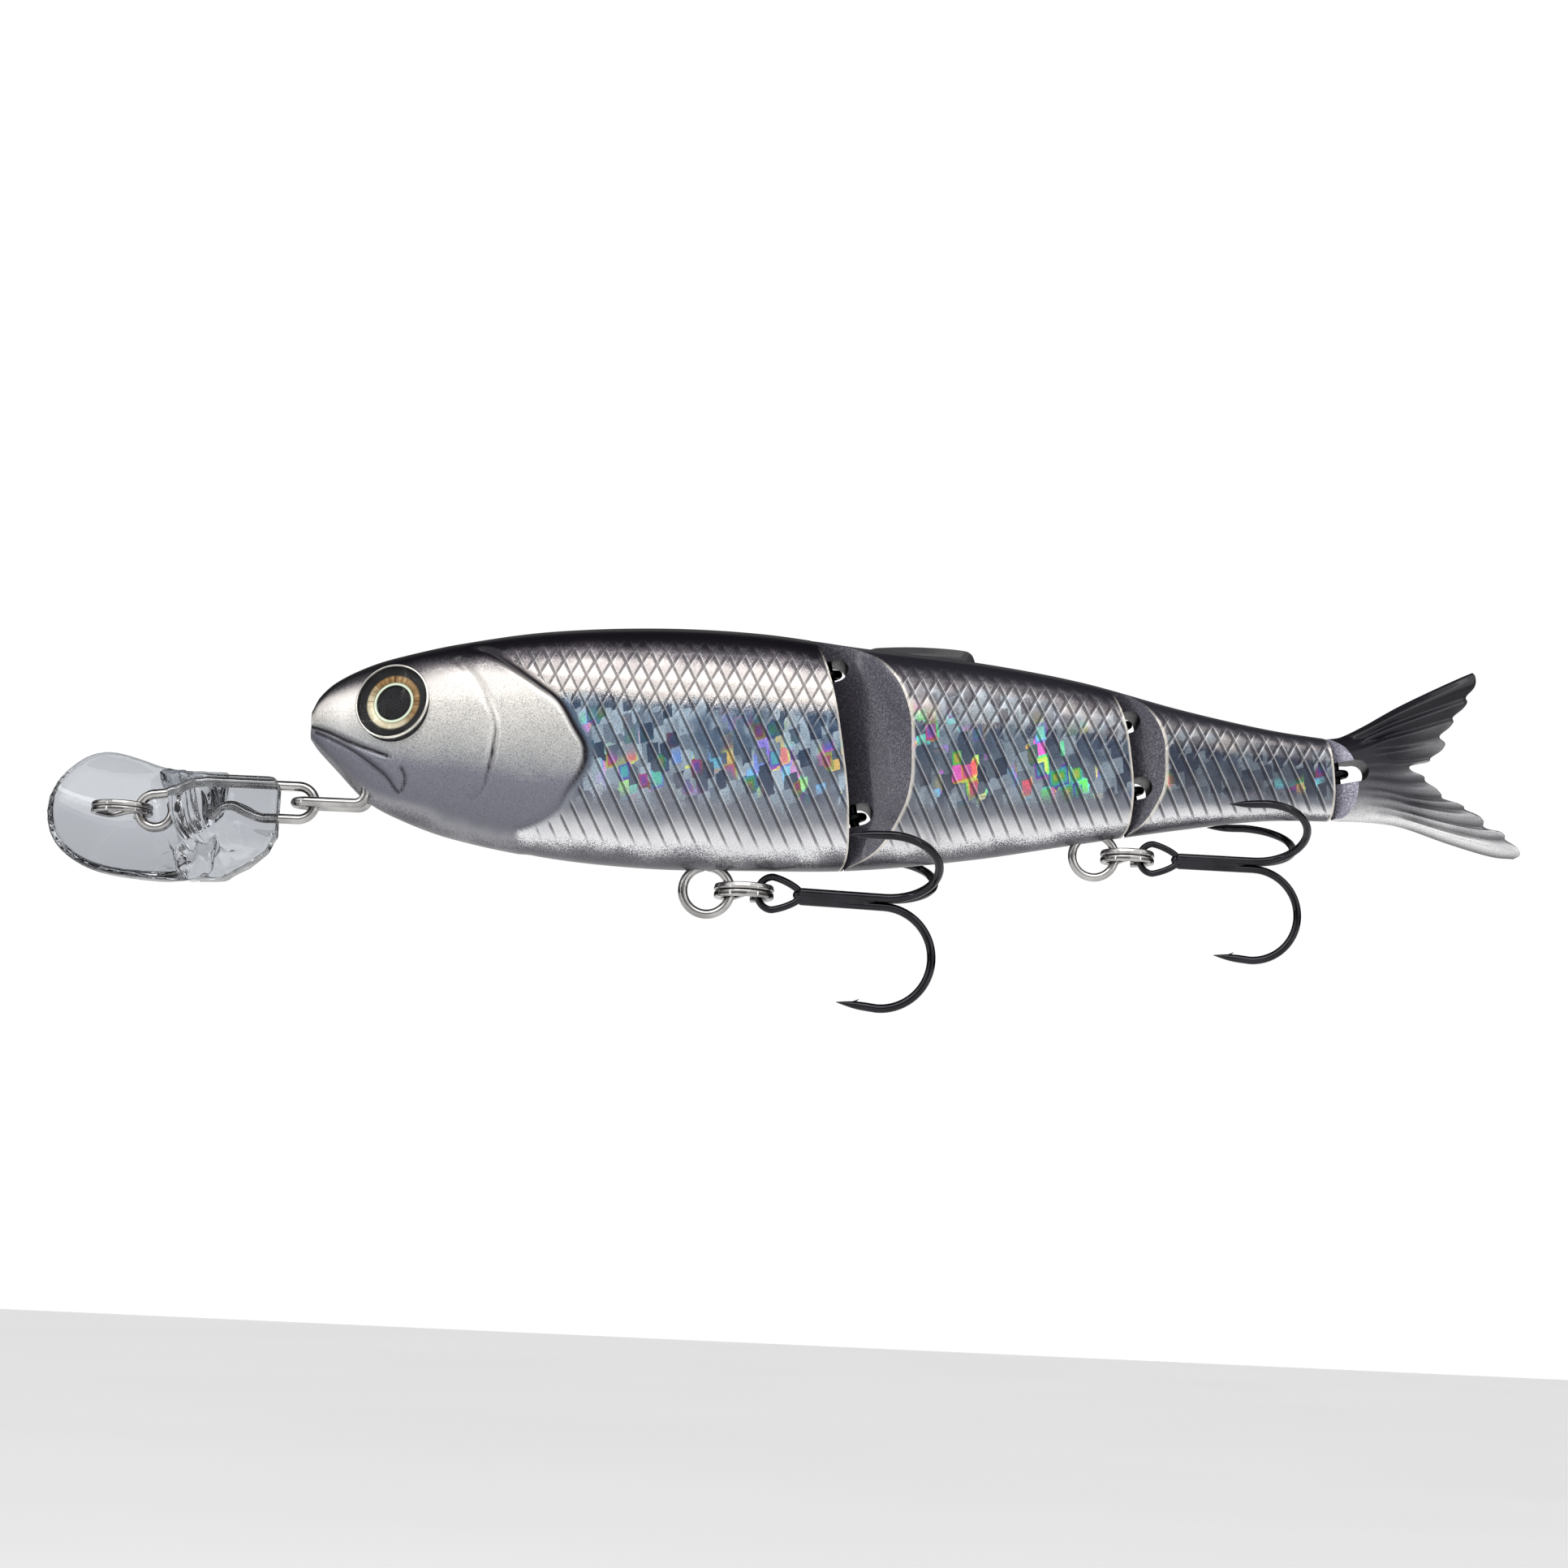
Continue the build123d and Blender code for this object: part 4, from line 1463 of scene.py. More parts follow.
@dataclass
class TailFin:
    """Forked fin whose rays fan out from a rounded root."""

    hinge: Hinge
    root_x: float = 163.0
    upper: Points = (
        (163.0, 17.0), (165.8, 17.5), (169.1, 19.2), (173.6, 22.0), (178.0, 24.4), (182.3, 26.6), (184.2, 27.5))
    lower: Points = ((163.0, 5.9), (168.7, 6.1), (174.4, 5.5), (181.2, 3.45), (186.9, 2.0), (190.1, 1.8))
    trailing: Points = (
        (184.2, 27.5), (184.7, 27.0), (184.4, 24.9), (182.8, 22.0), (180.7, 18.9), (180.6, 17.3), (179.1, 15.1),
        (176.8, 14.4), (176.5, 13.2), (178.6, 12.2), (180.0, 10.4), (182.3, 9.2), (184.9, 7.95), (187.0, 5.9),
        (188.5, 5.4), (190.3, 3.9), (191.0, 2.4), (190.1, 1.8))
    rays: int = 11

    def build(
        self, finish: Material, pearl: Material, dark: Material
    ) -> Object:
        """Make the fin.

        Args:
            finish: fin material.
            pearl: pale root material.
            dark: material inside the cut, near black as painted shade.

        Returns:
            The fin.
        """
        rows, columns = 150, 161
        share = np.linspace(0, 1, columns)
        edge = smooth_line(self.trailing, 10)
        run = np.concatenate([[0], np.cumsum(np.linalg.norm(np.diff(edge, axis=0), axis=1))])
        tips = np.column_stack([np.interp(share * run[-1], run, edge[:, k]) for k in (0, 1)])
        tops, lows = smooth_line(self.upper, 12), smooth_line(self.lower, 12)
        roots = np.column_stack([np.full(columns, self.root_x), tops[0, 1] + (lows[0, 1] - tops[0, 1]) * share])
        lobes = 0.5 - 0.5 * np.cos(2 * math.pi * share * self.rays)
        out = (tips - roots) / np.linalg.norm(tips - roots, axis=1)[:, None]
        inner = np.clip(np.minimum(share, 1 - share) * 12, 0, 1)
        tips = tips - out * (0.85 * (1 - lobes) ** 1.5 * inner)[:, None]
        flat = np.empty((rows, columns, 2))
        for i, t in enumerate(np.linspace(0, 1, rows)):
            ray = roots + (tips - roots) * t
            up = np.array([np.interp(t, np.linspace(0, 1, len(tops)), tops[:, k]) for k in (0, 1)])
            down = np.array([np.interp(t, np.linspace(0, 1, len(lows)), lows[:, k]) for k in (0, 1)])
            flat[i] = ray + (up - ray[0]) * (1 - share)[:, None] + (down - ray[-1]) * share[:, None]
        t = np.linspace(0, 1, rows)[:, None] * np.ones(columns)
        s = np.ones((rows, 1)) * share
        x, z = flat[..., 0], flat[..., 1]
        wave = 0.5 - 0.5 * np.cos(2 * math.pi * s * self.rays)
        rise = np.clip((t - 0.22) / 0.25, 0, 1)
        blade = (1.05 - 0.55 * np.clip((x - 172) / 18, 0, 1)) * (0.62 + 0.38 * (1 - rise) + 0.50 * rise * wave**0.8)
        edge_fade = np.clip(np.minimum(np.minimum(s, 1 - s) * 14, (1 - t) * 16 + 0.05), 0, 1) ** 0.5
        blade = blade * (0.28 + 0.72 * edge_fade)
        middle, half = 11.5, 5.75
        high = np.clip(1 - ((z - middle) / (half + 0.35)) ** 2, 0, 1) ** 0.5
        root = 3.55 * np.clip((177.5 - x) / 11.0, 0, 1) ** 0.9 * high ** 1.2
        thick = (blade**4 + root**4) ** 0.25
        thick[:, 0] = thick[:, -1] = 0.0
        thick[-1] = 0.0
        front = np.stack([x, -thick, z], axis=-1).reshape(-1, 3)
        back = np.stack([x, thick, z], axis=-1).reshape(-1, 3)
        count = rows * columns
        faces = grid_faces(rows, columns, False)
        faces += [tuple(k + count for k in reversed(face)) for face in grid_faces(rows, columns, False)]
        faces.append(tuple(range(columns)) + tuple(range(count + columns - 2, count, -1)))
        fin = solid("fork_fin", np.vstack([front, back]), faces, 180)
        fin.data.materials.append(finish)
        cut(fin, self.hinge.prism(self.hinge.nose, self.hinge.bevel, pearl), Cut.KEEP)
        cut(fin, self.hinge.slot(self.hinge.slots[0], dark), Cut.REMOVE)
        tree = KDTree(count)
        for k, (a, b) in enumerate(flat.reshape(-1, 2)):
            tree.insert((a, b, 0.0), k)
        tree.balance()
        nearest = np.array([tree.find((v[0], v[2], 0.0))[1] for v in co_mm(fin)])
        floats(fin, "fan", s.ravel()[nearest])
        floats(fin, "tip", t.ravel()[nearest])
        # Share of painted shade in the grooves between the rays.
        floats(fin, "ray", ((1 - wave) * rise).ravel()[nearest])
        shade(fin, 50)
        return fin


@dataclass
class BackFin:
    """Low fin on the middle section's back."""

    top: Points = (
        (99.75, 25.7), (101.2, 26.9), (103.3, 27.26), (107.8, 27.5), (113.0, 27.38), (115.0, 26.9), (115.85, 25.1))

    def build(self, finish: Material) -> Object:
        """Make the fin.

        Args:
            finish: fin material.

        Returns:
            The fin.
        """
        crest = smooth_line(self.top, 10)
        keel = np.column_stack([np.linspace(101.8, 114.7, len(crest)), np.linspace(24.3, 23.5, len(crest))])
        rows = 9
        sides = []
        along = np.linspace(0, 1, len(crest))
        plump = np.clip(np.sin(math.pi * np.clip(along, 0.02, 0.98)) * 3, 0.3, 1)
        for sign in (-1, 1):
            for k in range(rows):
                t = k / (rows - 1)
                flat = crest + (keel - crest) * t
                thick = 0.86 * min(1.0, 0.25 + 1.6 * t) * plump
                sides.append(np.column_stack([flat[:, 0], sign * thick, flat[:, 1]]))
        columns = len(crest)
        loop = [*sides[:rows][::-1], *sides[rows:]]
        verts = np.vstack(loop)
        faces = grid_faces(len(loop), columns, False)
        count = len(loop)
        for j in range(columns - 1):
            faces.append(((count - 1) * columns + j, (count - 1) * columns + j + 1, j + 1, j))
        faces.append(tuple(i * columns for i in range(count)))
        faces.append(tuple(i * columns + columns - 1 for i in range(count)))
        fin = solid("back_fin", verts, faces, 50)
        fin.data.materials.append(finish)
        return fin


def geometry_tree(name: str, inputs: Sequence[tuple[str, str, Any]]) -> tuple[Graph, bpy.types.Node]:
    """Start a geometry node tree that also takes a finish.

    Args:
        name: tree name.
        inputs: socket name, kind and default for each input.

    Returns:
        Its graph and its input node.
    """
    tree = bpy.data.node_groups.new(name, "GeometryNodeTree")
    for label, kind, default in inputs:
        socket = tree.interface.new_socket(label, in_out="INPUT", socket_type="NodeSocket" + kind)
        if default is not None:
            socket.default_value = default
    tree.interface.new_socket("Finish", in_out="INPUT", socket_type="NodeSocketMaterial")
    tree.interface.new_socket("Geometry", in_out="OUTPUT", socket_type="NodeSocketGeometry")
    graph = Graph(tree)
    return graph, graph.node("NodeGroupInput")


def finished_tree(graph: Graph, source: bpy.types.Node, geometry: Socket) -> bpy.types.NodeTree:
    """End a geometry tree with Realize Instances and Set Material.

    Args:
        graph: graph of the tree.
        source: group input node.
        geometry: geometry to finish.

    Returns:
        The tree.
    """
    real = graph.node("GeometryNodeRealizeInstances", Geometry=geometry)
    paint = graph.node("GeometryNodeSetMaterial", Geometry=real.outputs[0], Material=source.outputs["Finish"])
    graph.node("NodeGroupOutput", Geometry=paint.outputs[0])
    return graph.tree


@dataclass
class RingTree:
    """Geometry nodes for a split ring: two flat coils with a short step between them."""

    name: str = "Split Ring Coils"
    rounding: float = 0.26

    def build(self) -> bpy.types.NodeTree:
        """Make the node tree with named inputs.

        Returns:
            The tree.
        """
        graph, source = geometry_tree(self.name, (
            ("Middle Radius", "Float", 3.6), ("Band", "Float", 0.95), ("Coil Height", "Float", 0.9),
            ("Step", "Float", 0.5), ("Turns", "Float", 1.84)))

        def metres(label: str) -> Socket:
            """An input in metres."""
            return graph.times(source.outputs[label], MM)

        spiral = graph.node(
            "GeometryNodeCurveSpiral", Resolution=110, Rotations=source.outputs["Turns"],
            Start_Radius=metres("Middle Radius"), End_Radius=metres("Middle Radius"), Height=0.0)
        place = graph.node("GeometryNodeSplineParameter")
        rise = graph.between(place.outputs["Factor"], 0.46, 0.54, -1.0, 1.0)
        offset = graph.node("ShaderNodeCombineXYZ", Z=graph.times(rise, metres("Step")))
        lift = graph.node("GeometryNodeSetPosition", Geometry=spiral.outputs[0], Offset=offset.outputs[0])
        profile = graph.node(
            "GeometryNodeCurvePrimitiveQuadrilateral", Width=metres("Coil Height"), Height=metres("Band"))
        rounded = graph.node(
            "GeometryNodeFilletCurve", mode="POLY", Curve=profile.outputs[0], Count=5, Radius=self.rounding * MM)
        sweep = graph.node(
            "GeometryNodeCurveToMesh", Curve=lift.outputs[0], Profile_Curve=rounded.outputs[0], Fill_Caps=True)
        return finished_tree(graph, source, sweep.outputs[0])


@dataclass
class TrebleTree:
    """Geometry nodes that set one bent hook round a shank as many times as asked."""

    name: str = "Hooks Round Shank"

    def build(self) -> bpy.types.NodeTree:
        """Make the node tree with named inputs.

        Returns:
            The tree.
        """
        graph, source = geometry_tree(self.name, (("Geometry", "Geometry", None), ("Hooks", "Int", 3)))
        points = graph.node("GeometryNodePoints", Count=source.outputs["Hooks"])
        index = graph.node("GeometryNodeInputIndex")
        turn = graph.math("DIVIDE", graph.times(index.outputs[0], 2 * math.pi), source.outputs["Hooks"])
        spin = graph.node("ShaderNodeCombineXYZ", X=turn)
        rotation = graph.node("FunctionNodeEulerToRotation", Euler=spin.outputs[0])
        copies = graph.node(
            "GeometryNodeInstanceOnPoints", Points=points.outputs[0], Instance=source.outputs["Geometry"],
            Rotation=rotation.outputs[0])
        return finished_tree(graph, source, copies.outputs[0])


def grown(obj: Object, tree: bpy.types.NodeTree, **inputs: Any) -> None:
    """Run a geometry node tree on an object and keep the result as its mesh.

    Args:
        obj: the object.
        tree: the node tree.
        inputs: values by input name, with underscores for spaces.
    """
    modifier = obj.modifiers.new("grown", "NODES")
    modifier.node_group = tree
    for item in tree.interface.items_tree:
        key = item.name.replace(" ", "_")
        if item.in_out == "INPUT" and key in inputs:
            modifier[item.identifier] = inputs[key]
    baked(obj)


def moved(obj: Object, place: Place, tilt: float = 0.0) -> None:
    """Turn a mesh about Y by degrees and move it to a place in millimetres."""
    obj.data.transform(Matrix.Translation(Vector(place) * MM) @ Matrix.Rotation(math.radians(tilt), 4, "Y"))


@dataclass
class SplitRing:
    """One split ring."""

    name: str
    place: Place
    middle: float
    band: float
    tall: float
    turn: float = 75.0

    def build(self, tree: bpy.types.NodeTree, finish: Material) -> Object:
        """Make the ring.

        Args:
            tree: ring tree.
            finish: wire material.

        Returns:
            The ring.
        """
        ring = linked(self.name, bpy.data.meshes.new(self.name))
        coil = self.tall / 2 - 0.03
        grown(ring, tree, Middle_Radius=self.middle, Band=self.band * 0.98, Coil_Height=coil,
              Step=self.tall / 2 - coil / 2 - 0.005, Finish=finish)
        ring.data.transform(Matrix.Rotation(math.radians(self.turn), 4, "Z"))
        moved(ring, self.place)
        fix_normals(ring.data)
        shade(ring, 35)
        return ring


@dataclass
class Treble:
    """One treble hook with tapered points and cut barbs."""

    name: str
    place: Place
    droop: float
    scale: float
    wire: float = 0.6
    shank: float = 15.2
    bend: float = 6.95
    eye: float = 2.05
    eye_wire: float = 0.49
    throat: float = 3.9

    def build(self, tree: bpy.types.NodeTree, finish: Material) -> Object:
        """Make the hook.

        Args:
            tree: hook tree.
            finish: hook material.

        Returns:
            The hook.
        """
        spread = self.wire * 1.25
        low = -spread - 2 * self.bend
        path = [(4.0, -spread)] + [(x, -spread) for x in np.linspace(5, self.shank, 8)]
        path += arc((self.shank, -spread - self.bend), self.bend, 90, -90, 37)[1:]
        start = (self.shank - 1.0, low + 0.09)
        tip = (self.shank - 5.55, low + 0.50)
        path += [tuple(v) for v in np.linspace(start, tip, 12)]
        points = np.array([(x, 0.0, z) for x, z in path])
        radii = np.full(len(points), self.wire * 0.99)
        radii[-12:] = self.wire * np.array((0.99, 0.99, 0.98, 0.96, 0.92, 0.85, 0.76, 0.64, 0.51, 0.37, 0.22, 0.07))
        hook = tube(self.name + "_bend", points, radii, sides=18)
        root = np.array((self.shank - 3.1, 0.0, low + 0.28))
        spur = [root + (0.35, 0, 0.1), root + (0.0, 0, 0.45), root + (0.55, 0, 0.78)]
        barb = tube(self.name + "_barb", np.array(spur), [0.30, 0.22, 0.05], sides=8)
        one = joined(self.name, [hook, barb])
        grown(one, tree, Hooks=3, Finish=finish)
        spine = np.array([(x, 0, 0) for x in (3.5, 4.2, 8.0, self.shank * 0.80, self.shank * 0.92)])
        core = tube(self.name + "_core", spine, [0.75, 1.02, 1.02, 0.95, 0.4], sides=24)
        ring = []
        for t in np.linspace(0, 2 * math.pi, 73)[:-1]:
            ahead = max(0.0, math.cos(t))
            long = self.eye if ahead == 0 else self.throat
            ring.append((long * math.cos(t), 0.0, 1.1 * self.eye * math.sin(t) * (1 - 0.34 * ahead)))
        eye = tube(self.name + "_eye", np.array(ring), self.eye_wire, closed=True, sides=18)
        for part in (core, eye):
            part.data.materials.append(finish)
        whole = joined(self.name, [one, core, eye])
        whole.name = self.name
        whole.data.transform(Matrix.Scale(self.scale, 4))
        whole.data.transform(Matrix.Translation(Vector((0.3 * self.scale, 0, 0)) * MM))
        moved(whole, self.place, self.droop)
        fix_normals(whole.data)
        shade(whole, 45)
        return whole


@dataclass
class WireForms:
    """Hangers, hinge eyes, pins, the chin staple and the lip's wire."""

    finish: Material

    def screw_eye(self, name: str, hinge: Hinge, level: float) -> Object:
        """Eye on a hinge pin, whose shank runs forward.

        Args:
            name: name of the piece.
            hinge: hinge whose pin it holds.
            level: height of the eye.

        Returns:
            The screw eye.
        """
        loop = arc((0.0, 0.0), LOOP_RADIUS, 173, -160, 46)
        path = [(-9.2, 0.0), (-6.0, 0.0), (-3.0, 0.0), (-1.9, 0.05), *loop]
        points = hinge.world(np.array([(x, y, level) for x, y in path]))
        return painted(tube(name, points, LOOP_WIRE - 0.005, sides=18), self.finish)

    def pin(self, name: str, hinge: Hinge, low: float, high: float) -> Object:
        """Straight hinge pin."""
        points = hinge.world(np.array([(0, 0, low + 0.7), (0, 0, (low + high) / 2), (0, 0, high - 0.7)]))
        return painted(tube(name, points, 0.645, sides=24), self.finish)

    def hanger(self, name: str, place: Place, scale: float, shank: float) -> Object:
        """Hook hanger whose two legs go up side by side into the belly.

        Args:
            name: name of the piece.
            place: middle of the loop.
            scale: size against the front one.
            shank: length of the legs.

        Returns:
            The hanger.
        """
        radius, wire = 3.25 * scale, 0.64 * scale
        loop = arc((0.0, 0.0), radius, 96, -256, 60)
        path = [(0.16, radius + shank * 0.8), (0.10, radius + 0.8), *loop]
        made = tube(name, np.array([(x, 0.0, z) for x, z in path]), wire, sides=20)
        made.data.materials.append(self.finish)
        moved(made, place)
        return made

    def staple(self) -> Object:
        """Flat loop under the chin.

        Returns:
            The loop.
        """
        x0, half, z, bend, leg = 25.6, 2.0, 1.97, 1.5, 33.30
        side = [(leg, z + 7.5), (leg, z + 3.0), *arc((leg - bend, z + bend), bend, 0, -90, 10), (29.0, z)]
        left = [(x, -half, h) for x, h in side]
        front = [(x, y, z) for x, y in arc((x0, 0.0), half, 270, 90, 25)]
        right = [(x, half, h) for x, h in reversed(side)]
        return painted(tube("chin_staple", np.array(left + front + right), 0.67, sides=20), self.finish)

    def lip_wire(self) -> Object:
        """Wire that ties the line to the head through the lip.

        Returns:
            The wire.
        """
        radius, back_x, z = 2.27, 23.95, 1.97
        kink = smooth_line(
            ((12.5, -0.4), (13.6, 0.75), (15.2, 1.1), (17.0, 0.3), (19.2, z - radius - 0.1), (21.4, z - radius)), 6)
        path = [tuple(p) for p in kink] + [(22.6, z - radius)]
        path += arc((back_x, z), radius, -90, 90, 30)
        path += [(21.0, z + radius), (17.0, z + radius), (13.0, z + radius), (11.5, z + radius)]
        down = smooth_line(((11.5, z + radius), (9.2, 3.85), (6.8, 2.72), (4.6, 2.3)), 6)[1:-1]
        path += [tuple(p) for p in down]
        path += arc((4.6, 0.0), 2.3, 90, 382, 52)
        return painted(tube("line_wire", np.array([(x, 0.0, h) for x, h in path]), 0.67, sides=20), self.finish)


@dataclass
class Lip:
    """Clear lip grown from the frame's own blade, with its edges softened and a web under its block."""

    voxel: float = 0.30
    boss_start: tuple[float, float] = (5.2, 6.0)
    boss_end: tuple[float, float] = (12.4, -8.2)
    crests: tuple[Place, ...] = ((0.0, 0.60, 0.75), (-2.1, 0.30, 0.6), (2.4, 0.28, 0.7))
    web: Points = ((21.0, -2.6), (20.2, -5.0), (17.6, -7.3), (14.4, -9.2), (9.5, -9.4), (8.0, -4.5), (14.0, -1.5))

    def build(self, source: Object, finish: Material) -> Object:
        """Make the lip.

        Args:
            source: frame node whose shape it starts from.
            finish: clear material.

        Returns:
            The lip.
        """
        mesh = source.data.copy()
        work = bmesh.new()
        work.from_mesh(mesh)
        bmesh.ops.remove_doubles(work, verts=work.verts, dist=1e-6)
        work.to_mesh(mesh)
        work.free()
        sheets = [[(x, y0 + lean * (z + 2.6), z) for x, z in self.web] for y0, lean in ((-1.5, 0.25), (2.6, 0.12))]
        web = solid("web", np.array(sheets[0] + sheets[1]), drum_faces(2, len(self.web)))
        work = bmesh.new()
        work.from_mesh(mesh)
        work.from_mesh(web.data)
        work.to_mesh(mesh)
        work.free()
        bpy.data.objects.remove(web)
        lip = linked("clear_lip", mesh)
        mesh.materials.clear()
        mesh.materials.append(finish)
        remesh = lip.modifiers.new("remesh", "REMESH")
        remesh.mode = "VOXEL"
        remesh.voxel_size = self.voxel * MM
        soften = lip.modifiers.new("soften", "SMOOTH")
        soften.factor = 0.5
        soften.iterations = 14
        baked(lip)
        fix_normals(lip.data)
        self.ripple(lip)
        lip.data.shade_smooth()
        return lip

    def ripple(self, lip: Object) -> None:
        """Raise the slanting boss and the moulding ripples round it.

        Args:
            lip: lip to raise in place.
        """
        verts = co_mm(lip)
        normals = np.empty(len(verts) * 3)
        lip.data.vertices.foreach_get("normal", normals)
        start, end = np.array(self.boss_start), np.array(self.boss_end)
        run = (end - start) / np.linalg.norm(end - start)
        flat = verts[:, (0, 2)] - start
        along = flat @ run
        across = flat @ np.array((run[1], -run[0])) + 0.5 * np.sin(along * 0.55)
        ends = np.clip((along + 1.0) / 3.0, 0, 1) * np.clip((18.5 - along) / 3.0, 0, 1)
        sides = 3.0 * np.sign(verts[:, 1])
        drawn = np.array([noise.noise(Vector(v)) for v in zip(along * 0.10, across * 0.42, sides)])
        crests = sum(tall * np.exp(-(((across - at) / wide) ** 2)) for at, tall, wide in self.crests)
        lift = (crests + 0.8 * drawn * np.exp(-((across / 4.0) ** 2))) * ends
        inside = np.clip((verts[:, 2] + 9.3) / 0.6, 0, 1) * np.clip((verts[:, 0] + 10.2) / 0.6, 0, 1)
        verts += normals.reshape(-1, 3) * (lift * inside)[:, None]
        lip.data.vertices.foreach_set("co", (verts * MM).ravel())
        lip.data.update()


@dataclass
class Studio:
    """Floor, soft light and the camera."""

    target: Place = (0.0901, 0.0, 0.00764)
    distance: float = 0.44
    elevation: float = -9.0
    roll: float = 2.6
    lens: float = 73.8
    floor_z: float = -0.16
    floor_half: float = 6000.0

    def floor(self) -> Object:
        """Pale floor well below the object.

        Returns:
            The floor.
        """
        corners = [(x * self.floor_half, y * self.floor_half, 0.0) for x, y in ((-1, -1), (1, -1), (1, 1), (-1, 1))]
        made = solid("floor", np.array(corners), [(0, 1, 2, 3)])
        made.data.transform(Matrix.Translation((0, 0, self.floor_z)))
        made.data.materials.append(FloorFinish().build())
        return made

    def camera(self) -> None:
        """Camera at the wanted angle."""
        e, r = math.radians(self.elevation), math.radians(self.roll)
        ahead = Vector((0, math.cos(e), -math.sin(e)))
        right = Vector((1, 0, 0))
        up = (-ahead).cross(right)
        right, up = right * math.cos(r) + up * math.sin(r), up * math.cos(r) - right * math.sin(r)
        data = bpy.data.cameras.new("camera")
        data.lens = self.lens
        data.sensor_width = 36.0
        data.clip_start = 0.01
        made = linked("camera", data)
        turn = Matrix((right, up, -ahead)).transposed().to_4x4()
        made.matrix_world = Matrix.Translation(Vector(self.target) - ahead * self.distance) @ turn
        bpy.context.scene.camera = made

    def light(self, name: str, place: Place, size: tuple[float, float], power: float) -> None:
        """Soft rectangular light aimed at the object.

        Args:
            name: name of the light.
            place: where it stands.
            size: width of the lamp.
            power: its power.
        """
        data = bpy.data.lights.new(name, "AREA")
        data.shape = "RECTANGLE"
        data.size, data.size_y = size
        data.energy = power
        made = linked(name, data)
        aim = Vector(self.target) - Vector(place)
        made.matrix_world = Matrix.Translation(place) @ aim.to_track_quat("-Z", "Y").to_matrix().to_4x4()

    def world(self) -> None:
        """White to the camera, a soft graded room to everything else."""
        world = bpy.data.worlds.new("studio")
        bpy.context.scene.world = world
        world.use_nodes = True
        graph = Graph(world.node_tree)
        world.node_tree.nodes.clear()
        split = graph.parts(graph.node("ShaderNodeTexCoord").outputs["Generated"])
        room = graph.ramp(graph.math("MULTIPLY_ADD", split[2], 0.5, 0.5), [
            (0.00, (0.55, 0.55, 0.57)), (0.10, (0.50, 0.50, 0.52)), (0.25, (0.20, 0.20, 0.22)),
            (0.40, (0.07, 0.07, 0.08)), (0.55, (0.10, 0.10, 0.11)), (0.63, (0.50, 0.50, 0.50)),
            (0.71, (1.00, 1.00, 1.00)), (0.88, (1.00, 1.00, 1.00)),
            (0.93, (0.12, 0.12, 0.13)), (1.00, (0.03, 0.03, 0.035))])
        front = graph.between(split[1], 0.25, -0.15, 0.08, 1.0)
        room_light = graph.node("ShaderNodeBackground", Color=room, Strength=graph.times(front, 1.5))
        white = graph.node("ShaderNodeBackground", Color=(1.0, 1.0, 1.0, 1.0), Strength=1.02)
        choose = graph.node("ShaderNodeMixShader")
        path = graph.node("ShaderNodeLightPath")
        depth = graph.plus(path.outputs["Glossy Depth"], path.outputs["Diffuse Depth"])
        bounced = graph.math("MINIMUM", depth, 1.0)
        through = graph.times(path.outputs["Is Transmission Ray"], graph.less(1.0, bounced))
        seen = graph.most(path.outputs["Is Camera Ray"], through)
        graph.feed(choose.inputs[0], seen)
        graph.feed(choose.inputs[1], room_light.outputs[0])
        graph.feed(choose.inputs[2], white.outputs[0])
        graph.feed(graph.node("ShaderNodeOutputWorld").inputs[0], choose.outputs[0])

    def build(self) -> Object:
        """Set up everything and return the floor.

        Returns:
            The floor.
        """
        self.world()
        self.light("key", (0.02, -0.55, 0.60), (0.8, 0.5), 2.3)
        self.light("fill", (0.45, -0.6, 0.05), (0.5, 0.4), 0.3)
        self.light("back", (0.2, 0.5, 0.45), (0.6, 0.2), 0.05)
        self.light("top strip", (0.09, -0.32, 0.42), (0.7, 0.03), 0.35)
        self.light("head strip", (-0.42, -0.36, 0.05), (0.03, 0.4), 0.22)
        self.light("tail strip", (0.62, -0.36, 0.05), (0.03, 0.4), 0.22)
        self.camera()
        scene = bpy.context.scene
        scene.view_settings.view_transform = "Standard"
        return self.floor()


def centre(node: str) -> Place:
    """Middle of a frame node's box at rest, in millimetres.

    Args:
        node: name of the node.

    Returns:
        The point.
    """
    low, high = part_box(node)
    x, y, z = (low + high) / (2 * MM)
    return x, y, z


def settle(piece: Object, body: str, slot: str, *nodes: str) -> None:
    """Hang a piece on the body it rides on and hide the nodes it stands for.

    Args:
        piece: finished piece.
        body: body that it rides on.
        slot: not used.
        *nodes: nodes that it replaces.
    """
    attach(piece, body)
    if nodes:
        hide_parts(*nodes)
    LOG.info("%s rides on %s, %d faces", piece.name, body, len(piece.data.polygons))


